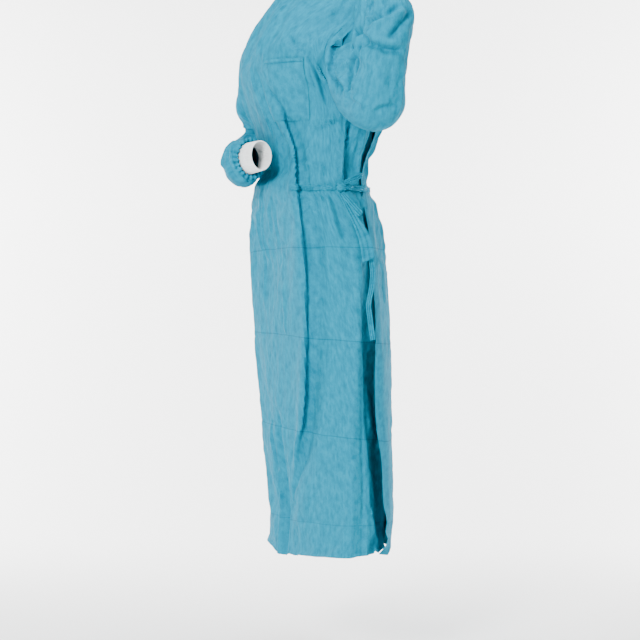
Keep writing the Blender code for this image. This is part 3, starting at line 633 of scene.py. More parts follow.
def body_lines(pleats, ridges, creases):
    """Lines in angles and millimetres, brought to cloth coordinates."""
    rows = (
        [(pleat(*row[:-1]), row[-1]) for row in pleats]
        + [(ridge(width, height, FOLD_STRENGTH), path) for width, height, path in ridges]
        + [(crease(height), path) for height, path in creases]
    )
    return [(*shape, [(a * ARC, z / 1000.0) for z, a in path]) for shape, path in rows]


def at_levels(levels, rows):
    """Ridges that cross the same levels. Columns: width, height, an angle for each level."""
    return [(width, height, list(zip(levels, angles))) for width, height, *angles in rows]


# The front, in millimetres and degrees
# Columns: widths left and right of the line, heights left and right, path of (z, angle)
FRONT_PLEATS = [
    (26, 30, -6.5, 3.5, [(-169, -69), (-222, -58), (-264, -47.5), (-298, -44), (-350, -37), (-384, -32.5),
        (-433, -29), (-478, -28.5), (-603, -29.5), (-765, -31.5), (-868, -33.5), (-947, -37),
        (-1064, -56)]),
    (14, 14, -4, 2, [(-169, -72.5), (-226, -65.5), (-283, -62), (-332, -54), (-375, -38)]),
    (12, 16, -5, 3, [(-100, -46), (-121, -41), (-142, -32.5), (-165, -23.5), (-196, -18.5), (-232, -16.5),
        (-258, -15), (-270, -8.5)]),
    (8, 12, 2, -3, [(-320, -22), (-306, -14), (-296, -4)]),
    (6, 10, -3, 2.5, [(-381, -34), (-386, -22), (-391, -8)]),
    (12, 12, -3.5, 2.5, [(-920, -112), (-1030, -114), (-1060, -104), (-1170, -99)]),
    (20, 16, 3, -4, [(-440, -136), (-580, -138), (-780, -141), (-1020, -140)]),
    (12, 16, -4, 2.5, [(-140, -138), (-180, -152), (-240, -163), (-290, -170)]),
]
# Columns: width, height, path of (z, angle)
FRONT_RIDGES = [
    (6, 2, [(-155, -80), (-200, -76), (-260, -72), (-310, -66), (-390, -50)]),
    (5, -1.8, [(-165, -76), (-230, -70), (-290, -66), (-350, -60)]),
    (6, 2.2, [(-20, -73), (-86, -65), (-150, -74)]),
    (6, 2.2, [(-35, -66), (-90, -58), (-160, -66)]),
    (5, -1.6, [(-30, -70), (-90, -61), (-155, -70)]),
    (7, 2, [(-30, -82), (-90, -80), (-160, -84)]),
    (9, 3, [(-210, -4), (-270, -4), (-340, -4), (-440, -3)]),
    (7, 3, [(-293, -22), (-293, -13), (-296, -5)]),
    (6, 2.6, [(-440, -2), (-700, -2), (-1000, -3), (-1400, -6)]),
    (4, -2.2, [(-392, -24), (-412, -23), (-436, -22.5)]),
    (4, -2, [(-390, -17), (-412, -17.5), (-436, -17)]),
    (4, -2.4, [(-396, -12), (-408, -10), (-428, -12)]),
    (4, 2, [(-400, -27), (-420, -26), (-436, -26)]),
    (6, -2.5, [(-449, -15), (-475, -14), (-520, -12)]),
    (6, -2.5, [(-449, -9), (-480, -7), (-560, -4)]),
    (6, 2.5, [(-449, -12), (-490, -10.5), (-560, -8)]),
    (7, -2, [(-449, -20), (-500, -18), (-580, -17)]),
    (9, 1.8, [(-630, -55), (-700, -56), (-760, -56)]),
    (12, -2, [(-460, -62), (-530, -60), (-620, -60)]),
    (10, 2.5, [(-460, -96), (-520, -99), (-600, -96)]),
    (10, 3, [(-460, -110), (-560, -113), (-700, -110)]),
    (7, 2.2, [(-170, -108), (-240, -114), (-310, -118)]),
    (6, -2.2, [(-170, -117), (-250, -124), (-330, -130)]),
    (5, -2.2, [(-396, -150), (-415, -151), (-436, -150)]),
    (5, -2.2, [(-392, -160), (-412, -160), (-436, -161)]),
]
# Columns: height, path of (z, angle)
FRONT_CREASES = [
    (-1.6, [(-355, -35), (-349, -17)]),
    (-1.3, [(-572, -150), (-569, -120), (-564, -66), (-556, -35)]),
    (-1.3, [(-569, -31), (-574, -19.5), (-569, -10), (-570, 3)]),
    (-1.3, [(-762, -160), (-757, -120), (-753, -72), (-750, -30)]),
    (1.4, [(-772, -31), (-771, -17.5), (-780, 3)]),
    (-1.2, [(-950, -160), (-947, -120), (-952, -97), (-956, -56)]),
    (1.3, [(-958, -36), (-972, -17.5), (-979, 3)]),
    (-1, [(-1163, -62), (-1153, -28), (-1150, -12)]),
]

# The backs. Columns as for the front
BACK_PLEATS = [
    (10, 10, 3, -4.5, [(-240, 8), (-340, 5), (-430, 7)]),
    (10, 10, 3, -4.5, [(-240, 18), (-330, 15), (-430, 16)]),
    (10, 10, -4.5, 3, [(-240, 31), (-330, 27), (-430, 25)]),
]
BACK_RIDGES = [
    (6, 4, [(-445, 6), (-513, 8), (-600, 10)]),
    (6, 4, [(-445, 16), (-530, 20), (-620, 22)]),
] + at_levels((-250, -340, -430), [
    (6, 4, 38, 34, 33), (6, -4, 46, 42, 40), (6, 3.5, 58, 58, 60), (7, 3.5, 80, 80, 82),
    (7, 3.5, 100, 100, 102),
]) + at_levels((-270, -340, -430), [
    (7, 3.5, 124, 121, 122), (7, 3.5, 146, 144, 143),
]) + at_levels((-445, -520, -600), [
    (6, -4.5, 11, 14, 16), (6, 3.5, 44, 47, 50),
]) + at_levels((-445, -520, -620), [
    (6, -3.5, 52, 56, 60), (6, 3.5, 62, 66, 70),
]) + at_levels((-445, -520, -640), [
    (8, 3.5, 84, 85, 88), (8, 3.5, 102, 102, 104), (8, 3.5, 121, 122, 121), (8, 3.5, 144, 144, 142),
]) + at_levels((-50, -120, -200), [
    (10, 3, 60, 52, 44), (10, 3, 120, 128, 136),
]) + at_levels((-60, -140, -220), [
    (10, -3, 70, 64, 58), (10, -3, 110, 117, 122),
])
BACK_CREASES = [
    (-1.3, [(-571, 0), (-573, 60), (-570, 120), (-572, 180)]),
    (-1.3, [(-762, 30), (-765, 80), (-768, 130), (-762, 180)]),
    (-1.3, [(-795, -2), (-795, 12), (-795, 28)]),
    (-1.2, [(-962, 0), (-960, 60), (-957, 120), (-955, 180)]),
    (-1, [(-1155, 40), (-1150, 90), (-1152, 140), (-1155, 176)]),
]

# The left back's own hollows, just behind the side seam
LEFT_BACK_RIDGES = BACK_RIDGES + [
    (16, -4.5, [(-400, 11), (-560, 8), (-750, 5.5), (-1000, 5.5), (-1420, 6)]),
    (18, -6.5, [(-190, 7), (-270, 6.5), (-350, 6.5), (-460, 7)]),
]


def relieved(grid, angles, lines, seed, run):
    """A panel's fine grid with its lines, its turned hem and a slight unevenness.

    They fade out at the top edge, and at both sides over a run of columns.
    """
    across, height = angles * ARC, grid[:, :, 2]
    out = line_relief(body_lines(*lines), across, height)
    out += 0.0008 * seeded_noise(seed, across, height, 0.055, 2.2)
    out += 0.0004 * seeded_noise(seed + 1, across, height, 0.020, 1.8)
    out += 0.0005 * smooth((HEM_TURN - (height - grid[:1, :, 2])) / 0.0015)
    rows, columns = out.shape
    count = np.arange(columns)
    out *= smooth((rows - 1 - np.arange(rows)) / 10.0)[:, None]
    out *= smooth(count / run) * smooth((columns - 1 - count) / run)
    return grid + grid_normals(grid) * out[..., None]


def panel(angle_rows, extra_folds, lap, hold_sides, lines, seed, run=5.0):
    """A panel's coarse grid, crumpled, made fine and given its lines. Returns the grid and its angles."""
    rows = np.arange(TOP_ROW * ROW_SPLIT + 1) / ROW_SPLIT
    angles = np.array([angle_rows(row) for row in rows])
    grid = body_grid(angles, rows, extra_folds)
    if lap:
        normals = grid_normals(grid)
        start = np.maximum(np.array([free_edge(row)[0] for row in rows]) - LAP_RAMP, 0.0)[:, None]
        share = smooth((angles - start) / (LAP_RAMP - LAP_HELD))
        grid = grid - normals * (LAP_DEPTH * share)[..., None]
    hold = np.full(angles.shape, 0.04)
    hold[-1] = 1.0
    hold[-3:-1] = 0.5
    for side in hold_sides:
        hold[:, side] = 1.0
        hold[:, 1 if side == 0 else -2] = 0.4
    belt = np.exp(-((grid[:, :, 2] - TIE_Z) / 0.012) ** 2)
    hold = np.maximum(hold, belt * 0.9)
    hold[0] = np.maximum(hold[0], 0.25)
    grid = crumpled(grid, hold, BODY_GROWTH, 0.4, 0.007)
    grid, angles = doubled(grid), doubled(angles[..., None])[..., 0]
    return relieved(grid, angles, lines, seed, run), angles


def link(node_a, out, node_b, into):
    """Joins two shader nodes."""
    node_a.id_data.links.new(node_a.outputs[out], node_b.inputs[into])


def given(node, values):
    """Sets inputs of a shader node."""
    for socket, value in values.items():
        node.inputs[socket].default_value = value


# Lines pressed in by packing, darkened with painted shade where shade falls in their creases. Columns:
# height, rise along the line, half width, depth of the painted shade
PRESSED_SHADE_LINES = [
    (-0.5685, -0.006, 0.0016, 0.75),
    (-0.7645, -0.085, 0.0016, 0.80),
    (-0.9680, -0.110, 0.0016, 0.80),
    (-1.1560, 0.020, 0.0015, 0.55),
]
# Colour multiplied into the cloth along the pressed lines: painted shade in their creases
PRESSED_SHADE_TONE = (0.45, 0.55, 0.60, 1.0)


def pressed_shade_mask(nodes):
    """How strongly a point of the gown lies on a pressed line, from 0 to 1: the mask of the painted crease
    shade.
    """
    place = nodes.new("ShaderNodeTexCoord")

    def maths(kind, *operands):
        node = nodes.new("ShaderNodeMath")
        node.operation = kind
        for slot, operand in enumerate(operands):
            if isinstance(operand, float):
                node.inputs[slot].default_value = operand
            else:
                links.new(operand, node.inputs[slot])
        return node.outputs[0]

    links = place.id_data.links
    parts = nodes.new("ShaderNodeSeparateXYZ")
    link(place, "Object", parts, "Vector")
    waver = nodes.new("ShaderNodeTexNoise")
    given(waver, {"Scale": 9.0, "Detail": 2.0})
    link(place, "Object", waver, "Vector")
    offset = maths("MULTIPLY", waver.outputs["Fac"], 0.010)
    x, y = (maths("MULTIPLY", parts.outputs[axis], part) for axis, part in zip("XY", SIDE_WAY))
    along = maths("ADD", x, y)
    height = maths("ADD", parts.outputs["Z"], offset)
    total = None
    for level, rise, half, deep in PRESSED_SHADE_LINES:
        above = maths("SUBTRACT", height, maths("MULTIPLY", along, rise))
        off = maths("ABSOLUTE", maths("SUBTRACT", above, level + 0.005))
        near = maths("SUBTRACT", 1.0, maths("DIVIDE", off, half))
        held = maths("MULTIPLY", maths("MAXIMUM", near, 0.0), deep)
        total = held if total is None else maths("MAXIMUM", total, held)
    return total


def cloth_material(name, dark, light, knit=False):
    """Nonwoven cloth with clouds and streaks of fibre and painted shade along its pressed lines, or a fine
    rib knit.
    """
    made = bpy.data.materials.new(name)
    made.use_nodes = True
    nodes = made.node_tree.nodes
    shader = nodes["Principled BSDF"]
    given(shader, {"Roughness": 0.85 if knit else 0.62, "Sheen Weight": 0.25 if knit else 0.01,
                   "Sheen Roughness": 0.45, "Specular IOR Level": 0.01})
    place = nodes.new("ShaderNodeUVMap")
    place.uv_map = "cloth"

    def noise(stretch, scale, detail):
        mapping = nodes.new("ShaderNodeMapping")
        mapping.inputs["Scale"].default_value = stretch
        link(place, "UV", mapping, "Vector")
        made_noise = nodes.new("ShaderNodeTexNoise")
        given(made_noise, {"Scale": scale, "Detail": detail, "Roughness": 0.6})
        link(mapping, "Vector", made_noise, "Vector")
        return made_noise

    def joined(a, b, share):
        mix = nodes.new("ShaderNodeMix")
        mix.inputs[0].default_value = share
        link(a, 0 if a.bl_idname == "ShaderNodeMix" else "Fac", mix, 2)
        link(b, "Fac", mix, 3)
        return mix

    clouds = noise((1.0, 0.7, 1.0), 75.0, 5.0)
    streaks = noise((1.0, 0.12, 1.0), 150.0, 3.0)
    fibres = noise((1.0, 0.35, 1.0), 900.0, 3.0)
    tone = joined(joined(clouds, streaks, 0.28), fibres, 0.20)
    ramp = nodes.new("ShaderNodeValToRGB")
    for element, place_on, colour in zip(ramp.color_ramp.elements, (0.36, 0.64), (dark, light)):
        element.position = place_on
        element.color = (*colour, 1.0)
    link(tone, 0, ramp, "Fac")
    if knit:
        link(ramp, "Color", shader, "Base Color")
    else:
        # Painted shade: the base colour is darkened along the pressed lines, where shade falls in the creases
        crease_shade = nodes.new("ShaderNodeMix")
        crease_shade.data_type = "RGBA"
        crease_shade.blend_type = "MULTIPLY"
        given(crease_shade, {7: PRESSED_SHADE_TONE})
        made.node_tree.links.new(pressed_shade_mask(nodes), crease_shade.inputs[0])
        link(ramp, "Color", crease_shade, 6)
        link(crease_shade, 2, shader, "Base Color")
    bump = nodes.new("ShaderNodeBump")
    given(bump, {"Distance": 0.0006, "Strength": 0.6})
    link(joined(fibres, clouds, 0.35), 0, bump, "Height")
    link(bump, "Normal", shader, "Normal")
    return made


def sleeve_grids(side, table):
    """A sleeve's grid and its cuff's."""
    turns = np.radians(180.0 - 360.0 * np.arange(SLEEVE_COLUMNS) / SLEEVE_COLUMNS)
    c, s = np.cos(turns), np.sin(turns)
    start = np.array([armhole(side, math.degrees(t)) for t in turns])
    start[:, 0] += side * SLEEVE_SEAM_STEP
    at = np.arange((len(table) - 1) * SLEEVE_RINGS_PER_ROW + 1) / SLEEVE_RINGS_PER_ROW
    rows = table_at(numbered(table), at)
    centres, reaches = rows[:, :3], rows[:, 3:]
    turned = smooth((at + 0.25) / SLEEVE_TURN_ROWS)[:, None]
    ways = unit(np.gradient(centres, axis=0))
    tangents = unit(np.array([side, 0.0, 0.0]) * (1.0 - turned) + ways * turned)
    up = np.array([0.0, 0.0, 1.0])
    upper, rings = up, []

    def ring(centre, high_way, ahead, reach, pinch=0.0):
        above, below, fore, aft = reach
        high = c * np.where(c > 0, above, below)
        deep = s * np.where(s > 0, fore, aft) * (1.0 - pinch * pinched(c, s))
        return centre + np.outer(high, high_way) + np.outer(deep, ahead)

    pinches = ARMHOLE_PINCH * (1.0 - smooth(at / PINCH_ROWS))
    for centre, tangent, reach, pinch in zip(centres, tangents, reaches, pinches):
        upper = up if side < 0 else upper
        upper = unit(upper - tangent * (upper @ tangent))
        ahead = unit(np.cross(tangent, upper)) * side
        rings.append(ring(centre, upper, ahead, reach, pinch))
    count = SLEEVE_RINGS_PER_ROW // 2
    leaving = rings[0] - start
    first = [start + leaving * (k / count) for k in range(count)]
    body = np.array(first + rings)
    body[1:-1] = (body[:-2] + 2.0 * body[1:-1] + body[2:]) / 4.0
    rim = table_at(numbered(SLEEVE_RIM), np.linspace(0.0, len(SLEEVE_RIM) - 1.0, 10)[1:])
    ends = [ring(centre + tangent * along, upper, ahead, reach - shrink) for along, shrink in rim]
    grid = np.concatenate([body, np.array(ends)])
    hold = np.full(grid.shape[:2], 0.02)
    hold[0] = 1.0
    hold[1:3] = 0.3
    hold[-8:] = 1.0
    grid = crumpled(grid, hold, SLEEVE_GROWTH, 0.3, 0.009, closed=True)
    cuff = []
    seam_along, seam_shrink = SLEEVE_RIM[-1]
    for t in np.linspace(0.0, 1.0, CUFF_ROWS):
        along = seam_along - 0.0010 + CUFF_LENGTH * t
        shrink = seam_shrink + 0.0010 + CUFF_TAPER * t
        cuff.append(ring(centre + tangent * along, upper, ahead, reach - shrink))
    return grid, np.array(cuff)


def outward(grid):
    """A closed grid whose normals face away from its rings' centres."""
    facing = ((grid - grid.mean(axis=1, keepdims=True)) * grid_normals(grid, True)).sum()
    return grid if facing > 0 else grid[:, ::-1]


# Folds of the sleeves, in millimetres. Columns: width, height, path of (share of the length, turn)
SLEEVE_RIDGES = {
    "left": [
        (8, 3.5, [(0.64, 330), (0.526, 326), (0.45, 331)]),
        (8, 5, [(0.7, 250), (0.69, 210), (0.7, 170)]),
        (6, -6, [(0.66, 255), (0.65, 210), (0.66, 165)]),
        (7, 4.5, [(0.61, 250), (0.6, 205), (0.62, 160)]),
        (10, 4, [(0.25, 250), (0.4, 240), (0.52, 262)]),
        (8, -4, [(0.22, 220), (0.38, 210), (0.5, 228)]),
        (9, 4, [(0.12, 20), (0.22, 350), (0.33, 330)]),
        (8, -4, [(0.12, 50), (0.22, 24), (0.33, 4)]),
    ],
    "right": [
        (5, -5, [(0.23, 130), (0.195, 88), (0.204, 56)]),
        (5.5, -5, [(0.262, 142), (0.246, 110), (0.238, 84)]),
        (6, 5, [(0.215, 160), (0.222, 112), (0.222, 70)]),
        (6, 4.5, [(0.3, 200), (0.32, 160), (0.31, 120)]),
        (5, -4.5, [(0.345, 205), (0.36, 165), (0.35, 125)]),
        (6, 4.5, [(0.86, 226), (0.88, 262), (0.884, 304)]),
        (5, -4.5, [(0.82, 214), (0.838, 256), (0.842, 300), (0.846, 332)]),
        (6, 4, [(0.77, 200), (0.785, 240), (0.79, 290)]),
        (6, -4, [(0.7, 190), (0.72, 230), (0.726, 280)]),
        (8, 4, [(0.45, 150), (0.6, 164), (0.74, 172)]),
        (7, -4, [(0.45, 122), (0.6, 134), (0.74, 146)]),
        (8, 4.5, [(0.34, 60), (0.36, 20), (0.35, 340)]),
        (6, -5.5, [(0.3, 64), (0.31, 20), (0.3, 336)]),
        (8, 4.5, [(0.26, 60), (0.27, 20), (0.26, 330)]),
        (9, 4, [(0.08, 200), (0.16, 190), (0.24, 200)]),
        (8, -4, [(0.08, 240), (0.16, 230), (0.24, 240)]),
    ],
}

# Folds on the left sleeve's side that the view shows
# Columns: width, height, path of (z, distance along SIDE_WAY)
LEFT_SIDE_RIDGES = [
    (7, -18, [(-107, 11), (-135, 3), (-162, -6), (-192, -11), (-216, -10), (-235, 1), (-250, 11),
        (-269, 22)]),
    (6, -16, [(-140, 1), (-136, 11), (-125, 32), (-117, 60)]),
    (9, -20, [(-149, 60), (-162, 52), (-178, 42), (-188, 36)]),
    (6, 12, [(-162, 58), (-182, 48), (-207, 40), (-232, 37), (-265, 36)]),
    (7, -16, [(-170, 46), (-195, 32), (-228, 30), (-261, 25)]),
    (6, -12, [(-149, 36), (-168, 19), (-187, 11), (-212, 3)]),
    (6, 9, [(-153, 26), (-172, 11), (-200, 0)]),
    (6, 10, [(-215, 0), (-196, 15), (-187, 36)]),
    (7, -13, [(-166, 51), (-175, 77), (-183, 97), (-186, 137)]),
    (10, 8, [(-150, 51), (-168, 87), (-174, 135)]),
    (6, -9, [(-102, 153), (-130, 131), (-152, 115), (-166, 99)]),
    (10, 6, [(-98, 139), (-122, 119), (-148, 95)]),
    (7, -12, [(-126, 51), (-120, 79), (-110, 103), (-94, 131)]),
    (7, 8, [(-132, 63), (-122, 97), (-104, 135)]),
    (6, -9, [(-74, 73), (-94, 69), (-114, 67)]),
    (6, 6, [(-74, 83), (-94, 79), (-112, 77)]),
    (6, -9, [(-74, 97), (-94, 91), (-112, 85)]),
    (7, 9, [(-206, 1), (-242, 11), (-269, 30), (-299, 62)]),
    (6, -8, [(-257, 25), (-278, 33), (-294, 54)]),
    (6, -6, [(-306, 72), (-294, 96), (-294, 120)]),
    (6, 5, [(-296, 68), (-286, 92), (-280, 112)]),
    (10, -4, [(-202, 107), (-242, 111), (-274, 107)]),
    (12, -4, [(-206, 65), (-242, 71), (-270, 87)]),
]


def sleeve_relief(grid, lines, side_lines, seed):
    """A fine sleeve grid with its folds and the gathers at its end."""
    rows, columns = grid.shape[:2]
    share = np.linspace(0.0, 1.0, rows)[:, None] * np.ones((1, columns))
    around = np.linspace(0.0, 1.0, columns, endpoint=False)[None, :] * np.ones((rows, 1))
    out = np.zeros((rows, columns))
    across, along = around * SLEEVE_GIRTH, share * SLEEVE_LENGTH
    drawn = []
    for width, height, path in lines:
        turns = np.degrees(np.unwrap(np.radians([step[1] for step in path])))
        laid = [(t / 360.0 * SLEEVE_GIRTH, step[0] * SLEEVE_LENGTH) for step, t in zip(path, turns)]
        drawn.append((*ridge(width, height, SLEEVE_STRENGTH), laid))
    for shift in (-SLEEVE_GIRTH, 0.0, SLEEVE_GIRTH):
        out += line_relief(drawn, across + shift, along)
    phase = 2.0 * math.pi * around * GATHERS + 1.3 * np.sin(2.0 * math.pi * around * 3.0 + seed)
    out += 0.0022 * smooth((share - 0.86) / 0.10) * np.cos(phase)
    out += 0.0010 * seeded_noise(seed, across, along, 0.06, 1.0)
    facing = grid_normals(grid, True)
    away = grid - grid.mean(axis=1, keepdims=True)
    if np.sum(facing * away) < 0.0:
        facing = -facing
    if side_lines:
        seen = smooth(facing @ SIDE_OUT / 0.4)
        drawn = [(*ridge(*row), [(off / 1000.0, z / 1000.0) for z, off in path]) for *row, path in side_lines]
        out += line_relief(drawn, grid @ SIDE_WAY, grid[:, :, 2]) * seen
    out *= smooth(share / 0.03)
    return grid + facing * out[..., None]


def surface_at(surface, angle, z):
    """A point and normal, at one angle and height, of a fine panel with its normals and angles."""
    grid, normals, angles = surface
    middle = int(np.argmin(np.abs(grid[:, grid.shape[1] // 2, 2] - z)))
    column = float(np.interp(angle, angles[middle], np.arange(grid.shape[1])))
    low = min(int(column), grid.shape[1] - 2)
    t = column - low
    line = grid[:, low] * (1 - t) + grid[:, low + 1] * t
    facing = normals[:, low] * (1 - t) + normals[:, low + 1] * t
    row = float(np.interp(z, line[:, 2], np.arange(len(line))))
    k = min(int(row), len(line) - 2)
    s = row - k
    return line[k] * (1 - s) + line[k + 1] * s, unit(facing[k] * (1 - s) + facing[k + 1] * s)


FINISHES = {
    "gown_cloth": cloth_material("gown_cloth", (0.0, 0.116, 0.190), (0.0, 0.204, 0.312)),
    "cuff_knit": cloth_material("cuff_knit", (0.70, 0.72, 0.72), (0.84, 0.86, 0.86), knit=True),
}


def add(name, node, outer,
        slot="gown_cloth", thickness=CLOTH_THICKNESS, closed=False):
    """A piece of cloth, hung on the root body, with its imported solid hidden."""
    piece = cloth_piece(name, outer, thickness, FINISHES[slot], closed)
    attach(piece, "root")
    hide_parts(node)


lines = (FRONT_PLEATS, FRONT_RIDGES, FRONT_CREASES)
front, front_at = panel(front_angles, (), False, (0, -1), lines, 21)
lines = (BACK_PLEATS, LEFT_BACK_RIDGES, BACK_CREASES)
left, _ = panel(left_back_angles, INNER_FOLDS, True, (0,), lines, 31, 2.5)
lines = (BACK_PLEATS, BACK_RIDGES, BACK_CREASES)
right, right_at = panel(right_back_angles, OUTER_FOLDS, False, (-1,), lines, 41)
front_surface = front, grid_normals(front), front_at
right_surface = right, grid_normals(right), right_at

add("front_cloth", "front_panel", front)
add("left_back_cloth", "left_back", left)
add("right_back_cloth", "right_back", right)

for name, side, table, seed in (("left", 1.0, LEFT_SLEEVE, 51), ("right", -1.0, RIGHT_SLEEVE, 61)):
    grid, cuff = sleeve_grids(side, table)
    side_lines = LEFT_SIDE_RIDGES if name == "left" else []
    grid = sleeve_relief(doubled(grid, closed=True), SLEEVE_RIDGES[name], side_lines, seed)
    sleeve = f"{name}_sleeve"
    add(f"{sleeve}_cloth", sleeve, outward(grid),
        closed=True)
    cuff = doubled(doubled(cuff, closed=True), closed=True)
    ribs = 0.0005 * np.cos(np.arange(cuff.shape[1]) * 2.0 * math.pi * CUFF_RIBS / cuff.shape[1])
    cuff = cuff + (cuff - cuff.mean(axis=1, keepdims=True)) / CUFF_RADIUS * ribs[None, :, None]
    add(f"{name}_cuff_knit", f"{name}_cuff", outward(cuff),
        "cuff_knit", KNIT_THICKNESS, closed=True)

# Neck binding, from the right back's edge round the front to the left back's
turns = np.linspace(145.0, 526.0, 260)
edge = np.array([neck(t) for t in turns])
away = unit((edge - np.array([0.0, NECK_MIDDLE_Y, 0.0])) * np.array([1.0, 1.0, 0.0]))
edge = edge - away * (LAP_DEPTH * smooth((turns - 450.0) / 30.0))[:, None]
rise = unit(np.array([0.0, 0.0, 1.0]) - away * BINDING_LEAN)
levels = np.linspace(0.0, 1.0, 13)
puff = 0.0008 * np.sin(math.pi * levels)
binding = np.array([
    edge + rise * (0.0006 + BINDING_WIDTH * t) + away * p + away * 0.0003 * np.sin(turns * 1.9)[:, None]
    for t, p in zip(levels, puff)
])
add("neck_binding_cloth", "neck_binding", binding,
    thickness=BINDING_THICKNESS)

# Chest pocket on the front's surface, with its doubled top hem
across = np.linspace(*POCKET_ANGLES, 61)
up = np.linspace(*POCKET_HEIGHTS, 97)
patch = []
for z in up:
    line = []
    for a in across:
        place, facing = surface_at(front_surface, a, z)
        edge_in = min(a - POCKET_ANGLES[0], POCKET_ANGLES[1] - a) / (POCKET_ANGLES[1] - POCKET_ANGLES[0])
        bulge = 0.0030 * float(smooth(edge_in * 5.0)) * float(smooth((z - POCKET_HEIGHTS[0]) / 0.015))
        hem = 0.0010 * float(smooth((z - (POCKET_HEIGHTS[1] - POCKET_HEM)) / 0.001))
        stitched = -0.0022 * math.exp(-((z - (POCKET_HEIGHTS[1] - POCKET_HEM)) / 0.0016) ** 2)
        line.append(place + facing * (POCKET_STAND + bulge + hem + stitched))
    patch.append(line)
add("chest_pocket_cloth", "chest_pocket", np.array(patch))


def tie_strip(places, seed):
    """A gathered tie along a list of (point, out way), with lengthwise folds across its width."""
    points, out = np.moveaxis(np.array(places), 1, 0)
    run = np.concatenate([[0.0], np.cumsum(np.linalg.norm(np.diff(points, axis=0), axis=1))])
    rows = []
    for level in np.linspace(-1.0, 1.0, 11):
        wander = 0.0010 * seeded_noise(seed, run, run * 0.0 + level * 0.01, 0.03, 1.0)
        fold = 0.0009 * np.cos(level * 3.0 * math.pi + 6.0 * np.sin(run * 40.0 + seed))
        shape = points + out * (fold + 0.0008)[:, None]
        shape[:, 2] += level * TIE_HALF_WIDTH + wander
        rows.append(shape)
    return np.array(rows)


places = [surface_at(front_surface, a, TIE_Z) for a in np.linspace(-33.0, KNOT_ANGLE - 2.0, 120)]
strip = tie_strip([(p + n * TIE_STAND, n) for p, n in places], 71)
add("tie_left_cloth", "tie_left", strip)
loose = [(ring_point(a, TIE_Z, ()) + radial(a) * 0.0068, radial(a)) for a in np.linspace(0.6, 20.0, 60)]
held = [surface_at(right_surface, a, TIE_Z) for a in np.linspace(22.0, 180.0, 340)]
strip = tie_strip(loose + [(p + n * TIE_STAND, n) for p, n in held], 72)
add("tie_right_cloth", "tie_right", strip)

# The knot, a round wad with wraps
centre = ring_point(KNOT_ANGLE, TIE_Z, ()) + radial(KNOT_ANGLE) * 0.0100
spin, tilt = np.meshgrid(np.linspace(0, 2 * math.pi, 72, endpoint=False), np.linspace(-1.5, 1.5, 40))
wraps = 1.0 + 0.10 * np.cos(3.0 * spin + 5.0 * tilt) + 0.05 * np.cos(9.0 * tilt + spin)
ball = np.stack([0.0085 * np.cos(tilt) * np.cos(spin), 0.0105 * np.cos(tilt) * np.sin(spin),
                 0.0100 * np.sin(tilt)], axis=-1)
add("tie_knot_cloth", "tie_knot", centre + ball * wraps[..., None],
    thickness=KNOT_THICKNESS, closed=True)

# Bow pieces. Columns: name, flat size, rows of (z, angle, how far out, half width) in millimetres and degrees
RIBBONS = [
    ("loop_up", (0.014, 0.100), [
        (-433.3, -0.4, 26, 4), (-427.8, 2.8, 29, 5.5), (-420, 7.6, 29.5, 6), (-414.6, 11.3, 27.4, 6),
        (-413.8, 12.3, 24, 6), (-415.6, 11, 20.8, 6), (-424.5, 5.6, 18.5, 5.5), (-432.5, 0.4, 18, 4)]),
    ("loop_down", (0.015, 0.135), [
        (-454, -3.6, 35, 4), (-467.2, -2, 38.5, 6), (-483, 0.4, 39.5, 6.6), (-496.4, 3.1, 37.5, 6.6),
        (-500, 4, 32.5, 6.6), (-494.8, 3.4, 28, 6.6), (-473.8, -0.1, 27, 6), (-455, -2.9, 26.8, 4)]),
    ("tail_short", (0.030, 0.160), [
        (-454.5, -3.4, 21, 4.5), (-477.9, -1.7, 21.5, 6), (-513.8, 1.8, 21.5, 9.5), (-551.4, 5, 21.5, 14),
        (-596, 5.6, 22, 15.5)]),
    ("tail_long", (0.017, 0.340), [
        (-454.5, -3.2, 16.5, 4.5), (-483.9, -0.3, 16.5, 6), (-542.6, 6.4, 16.5, 6.8),
        (-603.9, 8.4, 16.5, 6.8), (-642, 7.3, 16.5, 6.8), (-688.6, 3.8, 16.5, 6.5), (-718, 4, 16.8, 6.5),
        (-764.3, 4.9, 17.5, 6.5)]),
]
for name, flat, path in RIBBONS:
    path = np.array(path) / (1000.0, 1.0, 1000.0, 1000.0)
    rows = table_at(numbered(path), np.linspace(0.0, len(path) - 1.0, 90))
    middle = plain_point(rows[:, 1], rows[:, 0]) + radial(rows[:, 1]) * rows[:, 2:3]
    farthest = middle[np.argmax(np.linalg.norm(middle - middle[0], axis=1))]
    outside = radial(rows[len(rows) // 2, 1])
    side = unit(np.cross(outside, farthest - middle[0]))
    grid = [
        middle + side * rows[:, 3:4] * level + outside * 0.0011 * math.cos(level * 2.6 * math.pi)
        for level in np.linspace(-1.0, 1.0, 15)
    ]
    add(f"{name}_cloth", name, np.array(grid))

# The photograph's view, and a floor that bends up behind the gown
VIEW_ANGLE = math.radians(70.0)
toward = np.array([math.sin(VIEW_ANGLE), -math.cos(VIEW_ANGLE), 0.0])
rightward = np.array([math.cos(VIEW_ANGLE), math.sin(VIEW_ANGLE), 0.0])
FLOOR_Z = -1.46
mesh = bpy.data.meshes.new("floor")
bend = [(-3.0, 0.0), (2.2, 0.0), (3.4, 6.0)]
bend[2:2] = [(2.2 + 1.2 * math.sin(a), 1.2 - 1.2 * math.cos(a)) for a in np.linspace(0.1, math.pi / 2, 16)]
corners, quads = [], []
for k, (far, high) in enumerate(bend):
    for s in (-6.0, 6.0):
        x, y, _ = rightward * s - toward * far
        corners.append((float(x), float(y), FLOOR_Z + high))
    if k:
        quads.append((2 * k - 2, 2 * k - 1, 2 * k + 1, 2 * k))
mesh.from_pydata(corners, [], quads)
mesh.shade_smooth()
floor = shown("floor", mesh)
backdrop = bpy.data.materials.new("backdrop")
backdrop.use_nodes = True
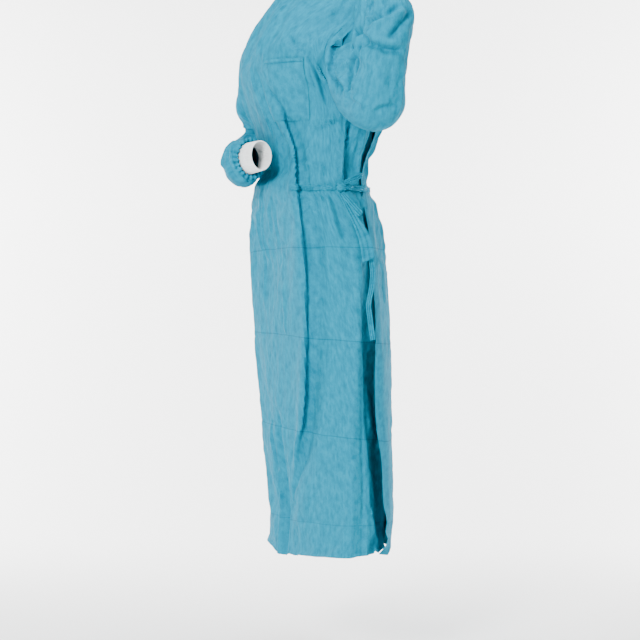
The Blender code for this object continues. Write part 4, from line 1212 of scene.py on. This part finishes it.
given(backdrop.node_tree.nodes["Principled BSDF"], {"Base Color": (0.95, 0.95, 0.945, 1.0), "Roughness": 0.9})
mesh.materials.append(backdrop)

# Camera at the photograph's angle, with pixels a metre at the gown's middle, and soft studio lights
SCALE = 450.0
PICTURE_WIDTH = 640.0
DISTANCE = 4.4
AIM_ALONG = -15.0 / SCALE
AIM_Z = -325.0 / SCALE


def stood(name, data, place, aim):
    """A camera or light at a place, turned to its aim."""
    back = unit(np.array(place, float) - np.array(aim, float))
    side = unit(np.cross(np.array([0.0, 0.0, 1.0]), back))
    turned = Matrix([side, np.cross(back, side), back]).transposed().to_4x4()
    turned.translation = place
    thing = shown(name, data)
    thing.matrix_world = turned
    return thing


lens = bpy.data.cameras.new("camera")
lens.sensor_width = 36.0
lens.lens = SCALE * DISTANCE / PICTURE_WIDTH * lens.sensor_width
aim = rightward * AIM_ALONG + np.array([0.0, 0.0, AIM_Z])
camera = stood("camera", lens, tuple(aim + toward * DISTANCE), tuple(aim))
bpy.context.scene.camera = camera

# Columns: name, along the view's right, up, toward the camera, size, power, aim's height and nearness
LIGHTS = [
    ("key", -1.3, 1.4, 3.5, 0.9, 285.0, 0.0, 0.0),
    ("fill", 3.2, 0.2, 1.2, 2.0, 22.0, 0.0, 0.0),
    ("top", 0.3, 2.6, 0.6, 2.0, 90.0, -0.3, 0.0),
    ("backdrop_left", -2.8, 0.6, -1.9, 2.0, 310.0, 0.1, -4.0),
    ("backdrop_right", 2.8, 0.6, -1.9, 2.0, 310.0, 0.1, -4.0),
]
for name, right_by, up_by, near_by, size, power, aim_up, aim_near in LIGHTS:
    lamp = bpy.data.lights.new(name, "AREA")
    lamp.shape = "DISK"
    lamp.size = size
    lamp.energy = power
    place = aim + rightward * right_by + toward * near_by + np.array([0.0, 0.0, up_by])
    target = aim + toward * aim_near + np.array([0.0, 0.0, aim_up])
    stood(name, lamp, tuple(place), tuple(target))
world = bpy.data.worlds.new("studio")
world.use_nodes = True
given(world.node_tree.nodes["Background"], {"Color": (0.93, 0.95, 0.97, 1.0), "Strength": 0.6})
bpy.context.scene.world = world
